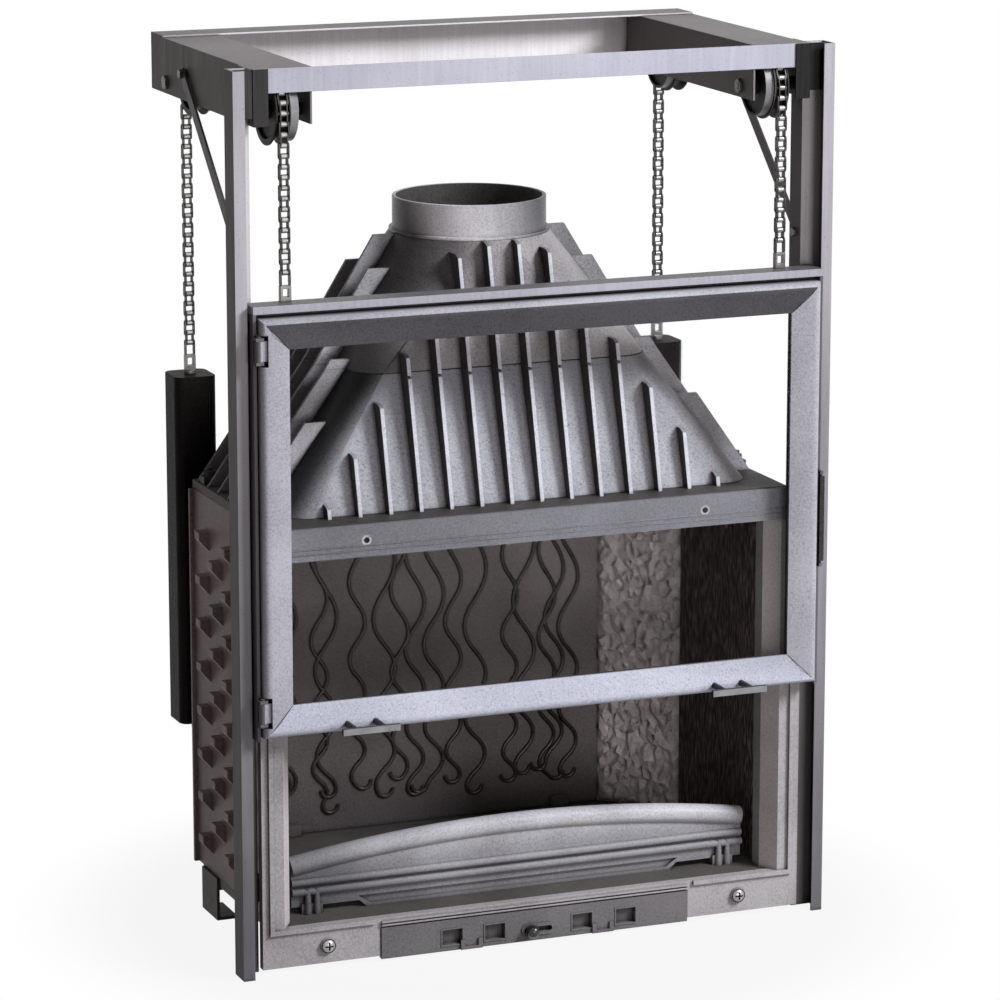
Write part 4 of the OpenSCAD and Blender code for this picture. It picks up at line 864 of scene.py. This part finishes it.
# Back wall
# The iron back wall shows slender ribs that sway upwards like flames and end in small hooks at the foot. They are
# cast with the wall and coloured near black against the grey of the plate. The plate is painted darker towards the
# foot, and painted light brightens its right end.
back_face = behind_front(400.0)
back_paint = cast_paint("back_wall_paint", (0.27, 0.234, 0.234), (0.42, 0.37, 0.37), 0.5, 0.25,
                        steps=((0.08, 0.5), (0.28, 0.75), (0.5, 1.0)), across=((0.0, 0.66), (0.17, 1.0)))
rib_paint = cast_paint("back_rib_dark", (0.016, 0.011, 0.010), (0.036, 0.027, 0.025), 0.35, 0.2, gloss=0.5)
back_wall = finished_copy("back_wall", back_paint, 0.0008)
rib_count = 16
rib_top = 0.556
rib_reach = 0.243
sway_step = 0.004
hook_step = 0.0025
hook_radius = 0.011
hook_turn = math.radians(165.0)
for i in range(rib_count):
    hand = (-1.0, -1.0, 1.0, -1.0, 1.0, 1.0, -1.0, 1.0)[i % 8]
    x = -0.222 + 0.444 * i / (rib_count - 1) + 0.005 * math.sin(i * 4.1)
    z = rib_top
    phase = 1.05 * i + 1.1 * math.sin(i * 1.9)
    foot = 0.112 + 0.012 * math.sin(i * 2.3)
    points = [(x, z)]
    while z > foot:
        depth = (rib_top - z) / 0.45
        turn = (0.42 + 0.42 * depth) * math.sin(phase)
        phase += sway_step * 2.0 * math.pi / ((0.19 - 0.10 * depth) * (1.0 + 0.18 * math.sin(i * 2.7)))
        x += sway_step * math.sin(turn)
        z -= sway_step * math.cos(turn)
        points.append((x, z))
    while hand * turn < hook_turn:
        turn += hand * hook_step / hook_radius
        x += hook_step * math.sin(turn)
        z -= hook_step * math.cos(turn)
        points.append((x, z))
    line = [Vector((max(-rib_reach, min(rib_reach, x)), back_face - 0.0004, z)) for x, z in points]
    rib = wire(f"back_rib_{i}", line, 0.0029, rib_paint, 2)
    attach(rib, "insert")

# Hearth, grate, baffle and deck
# The hearth plate carries a slotted grate over the ash drawer, and a baffle hangs under the deck to turn the
# smoke forwards. The deck closes the firebox and carries the hood. All four are plain dark iron, sooty inside.
soot_iron = cast_paint("soot_iron", (0.05, 0.044, 0.041), (0.11, 0.10, 0.095), 0.6, 0.4, gloss=0.2)
deck_iron = cast_paint("deck_iron", (0.045, 0.04, 0.038), (0.085, 0.076, 0.073), 0.5, 0.35)
for node, finish in (("hearth_plate", soot_iron), ("grate", soot_iron), ("baffle", soot_iron),
                     ("deck", deck_iron)):
    plate = finished_copy(node, finish, 0.001)

# Log guard
# A low iron rail keeps the logs off the glass: a round crown with a slight arch over a flat face with two beads,
# a long recess along the foot, and a fluted lug at each end that stands on the hearth.
# Painted shade: the guard grows darker towards its foot and towards its left end.
guard_paint = cast_paint("log_guard_paint", (0.38, 0.366, 0.393), (0.57, 0.554, 0.593), 0.42, 0.25, gloss=0.15,
                         steps=((0.06, 0.42), (0.11, 0.6), (0.135, 1.0)), across=((0.12, 1.0), (0.27, 0.42)),
                         along=(-1.0, 0.0, 0.0))
guard = finished_copy("log_guard", guard_paint, 0.0009, smooth=40.0)

# Ash drawer
# A folded steel tray slides in its housing under the hearth behind a cast front. The front has four air windows
# with raised rims, and a black ball in a slot shifts the register plate behind them.
tray_paint = painted_sheet("tray_paint", (0.04, 0.035, 0.034), (0.085, 0.077, 0.075), 0.5)
for node in ("drawer_housing", "ash_drawer"):
    tray = finished_copy(node, tray_paint, 0.0005)
drawer_face = behind_front(12.0)
drawer_paint = cast_paint("drawer_front_paint", (0.12, 0.112, 0.117), (0.19, 0.178, 0.186), 0.45, 0.3)
drawer_front = finished_copy("drawer_front", drawer_paint, 0.0006)
for number, x in enumerate((-0.116, -0.0575, 0.0635, 0.1245)):
    bpy.ops.object.select_all(action="DESELECT")
    bpy.ops.mesh.primitive_plane_add(size=1.0, location=(x, drawer_face - 0.0009, 0.021),
                                     rotation=(math.pi / 2.0, 0.0, 0.0))
    rim = bpy.context.object
    rim.name = f"window_rim_{number}"
    rim.scale = (0.0315, 0.0245, 1.0)
    bpy.ops.object.transform_apply(location=True, rotation=True, scale=True)
    choose(rim, "FACE", lambda c, n: True)
    bpy.ops.mesh.inset(thickness=0.0021, depth=0.0)
    bpy.ops.mesh.delete(type="FACE")
    bpy.ops.object.mode_set(mode="OBJECT")
    body = rim.modifiers.new("body", "SOLIDIFY")
    body.thickness = 0.0014
    body.offset = -1.0
    bpy.ops.object.modifier_apply(modifier="body")
    edge = rim.modifiers.new("edge", "BEVEL")
    edge.width = 0.0004
    edge.segments = 2
    bpy.ops.object.modifier_apply(modifier="edge")
    bpy.ops.object.shade_smooth_by_angle(angle=math.radians(35.0))
    rim.data.materials.append(drawer_paint)
    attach(rim, "ash_drawer")
register_steel = painted_sheet("register_paint", (0.06, 0.055, 0.056), (0.11, 0.10, 0.104), 0.5, gloss=0.2)
ball_black = cast_paint("ball_black", (0.012, 0.011, 0.011), (0.02, 0.018, 0.018), 0.22, 0.03, gloss=0.5,
                        pits=0.95)
register = finished_copy("air_register", register_steel, 0.0003, steps=1, smooth=50.0)
repaint(register, ball_black, lambda c, n: c.y < drawer_face)

# Hood
# The smoke hood is two iron castings, one on the other, with straight fins down the front and stepped fins at the
# sides. Its grey paint carries painted shade, darker on the upper casting and round the corners, most at the left
# one, with painted highlights on the fin fronts and painted shade on their flanks. A round collar on top takes the
# flue pipe and carries a painted highlight band, and bolted clamps hold the hood to the deck.
# Painted shade: the hood paint grows darker above the seam and round the left corner.
hood_paint = cast_paint("hood_paint", (0.28, 0.275, 0.304), (0.43, 0.424, 0.468), 0.42, 0.45, gloss=0.12, pits=0.6,
                        steps=((0.60, 1.0), (0.735, 0.72)),
                        across=((0.632, 1.0), (0.648, 0.45), (0.66, 0.12), (0.69, 0.06)), along=(-1.0, 0.0, 0.62))
corner_painted_shade = ((0.60, 1.0), (0.735, 0.76))
hood_fin_paint = cast_paint("hood_fin_paint", (0.28, 0.27, 0.29), (0.43, 0.415, 0.445), 0.42, 0.45, gloss=0.12,
                            pits=0.6)
upper_painted_shade = ((0.50, 0.78), (0.575, 0.78), (0.625, 0.4), (0.655, 0.24), (0.68, 0.2), (0.69, 0.9))
# Painted shade towards the left of the upper casting.
hood_upper_paint = cast_paint("hood_upper_paint", (0.29, 0.268, 0.276), (0.44, 0.41, 0.42), 0.42, 0.45, gloss=0.1,
                              pits=0.6, across=upper_painted_shade, along=(-1.0, 0.0, 0.645))
left_painted_shade = ((0.748, 1.0), (0.765, 0.5), (0.778, 0.14), (0.787, 0.06), (0.8005, 0.06), (0.807, 1.0))
hood_left_paint = cast_paint("hood_left_painted_shade", (0.28, 0.27, 0.292), (0.43, 0.414, 0.446), 0.42, 0.45, gloss=0.06,
                             pits=0.6, steps=corner_painted_shade, across=left_painted_shade, along=(-1.0, 0.0, 0.81))
hood_right_paint = cast_paint("hood_right_painted_shade", (0.28, 0.265, 0.285), (0.43, 0.405, 0.434), 0.42, 0.45, pits=0.6,
                              steps=corner_painted_shade, across=((0.757, 1.0), (0.792, 0.55)), along=(1.0, 0.0, 0.81))
# Painted highlight on the fin fronts and painted shade on their flanks.
fin_front_lit = cast_paint("hood_fin_rubbed", (0.46, 0.45, 0.49), (0.62, 0.61, 0.66), 0.4, 0.3, gloss=0.12)
fin_flank_shade = cast_paint("hood_fin_flank_painted_shade", (0.05, 0.042, 0.044), (0.095, 0.082, 0.086), 0.5, 0.3)
fin_spacing = 0.0408
fin_half = 0.0032


def beside_fin(c):
    """Distance of a spot from the middle of the nearest front fin."""
    return abs((abs(c.x) / fin_spacing) % 1.0 - 0.5) * fin_spacing


def fin_edge(z):
    """Where the sloping front edge of the fins lies at a height."""
    return behind_front(44.0) + 0.082 * (z - 0.572) / 0.321


hood_lower = finished_copy("hood_lower", hood_paint, 0.0014, steps=3, smooth=40.0)
hood_upper = finished_copy("hood_upper", hood_upper_paint, 0.0014, steps=3, smooth=40.0)
repaint(hood_lower, hood_left_paint, lambda c, n: n.x < -0.1 and n.y < 0.5)
repaint(hood_lower, hood_right_paint, lambda c, n: n.x > 0.1 and n.y < 0.5)
for hood in (hood_lower, hood_upper):
    repaint(hood, hood_fin_paint, lambda c, n: abs(n.y) > 0.99)
    repaint(hood, fin_flank_shade, lambda c, n: abs(n.x) > 0.9 and abs(c.x) < 0.28 and beside_fin(c) < fin_half
            and c.y < fin_edge(c.z) + 0.03)
    repaint(hood, fin_front_lit, lambda c, n: n.y < -0.5 and beside_fin(c) < fin_half and c.y < fin_edge(c.z) + 0.003)
# A painted highlight band runs round the collar, fading to painted shade at its sides.
collar_light_band = ((0.086, 0.12), (0.109, 1.0), (0.143, 0.95), (0.183, 0.58), (0.214, 0.37), (0.253, 0.1))
collar_paint = cast_paint("collar_paint", (0.55, 0.52, 0.55), (0.79, 0.757, 0.80), 0.34, 0.25, gloss=0.2,
                          across=collar_light_band, along=(1.0, 0.0, 0.2))
collar = finished_copy("flue_collar", collar_paint, 0.0009, smooth=40.0)
flue_middle = 0.0645
flue_inside = 0.0965
repaint(collar, soot_iron, lambda c, n: math.hypot(c.x, c.y - flue_middle) < flue_inside and abs(n.z) < 0.7)
seam_half = 0.2002
seam_height = 0.738
seam_round = 0.04
seam_standing = 0.0402
outline = []
for across, along, start in ((1.0, 1.0, 0.0), (-1.0, 1.0, 90.0), (-1.0, -1.0, 180.0), (1.0, -1.0, 270.0)):
    x = across * seam_half - across * seam_round
    y = (behind_front(345.2) if along > 0.0 else behind_front(111.8)) - along * seam_round
    for k in range(9):
        a = math.radians(start + 11.25 * k)
        outline.append(Vector((x + seam_standing * math.cos(a), y + seam_standing * math.sin(a), seam_height)))
seam = wire("hood_seam_line", outline, 0.0007, seam_dark_and_recess_shade, 1, True)
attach(seam, "insert")
for node in ("hood_clamps", "firebox_mounts"):
    clamp = finished_copy(node, deck_iron, 0.0007)

low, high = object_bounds()
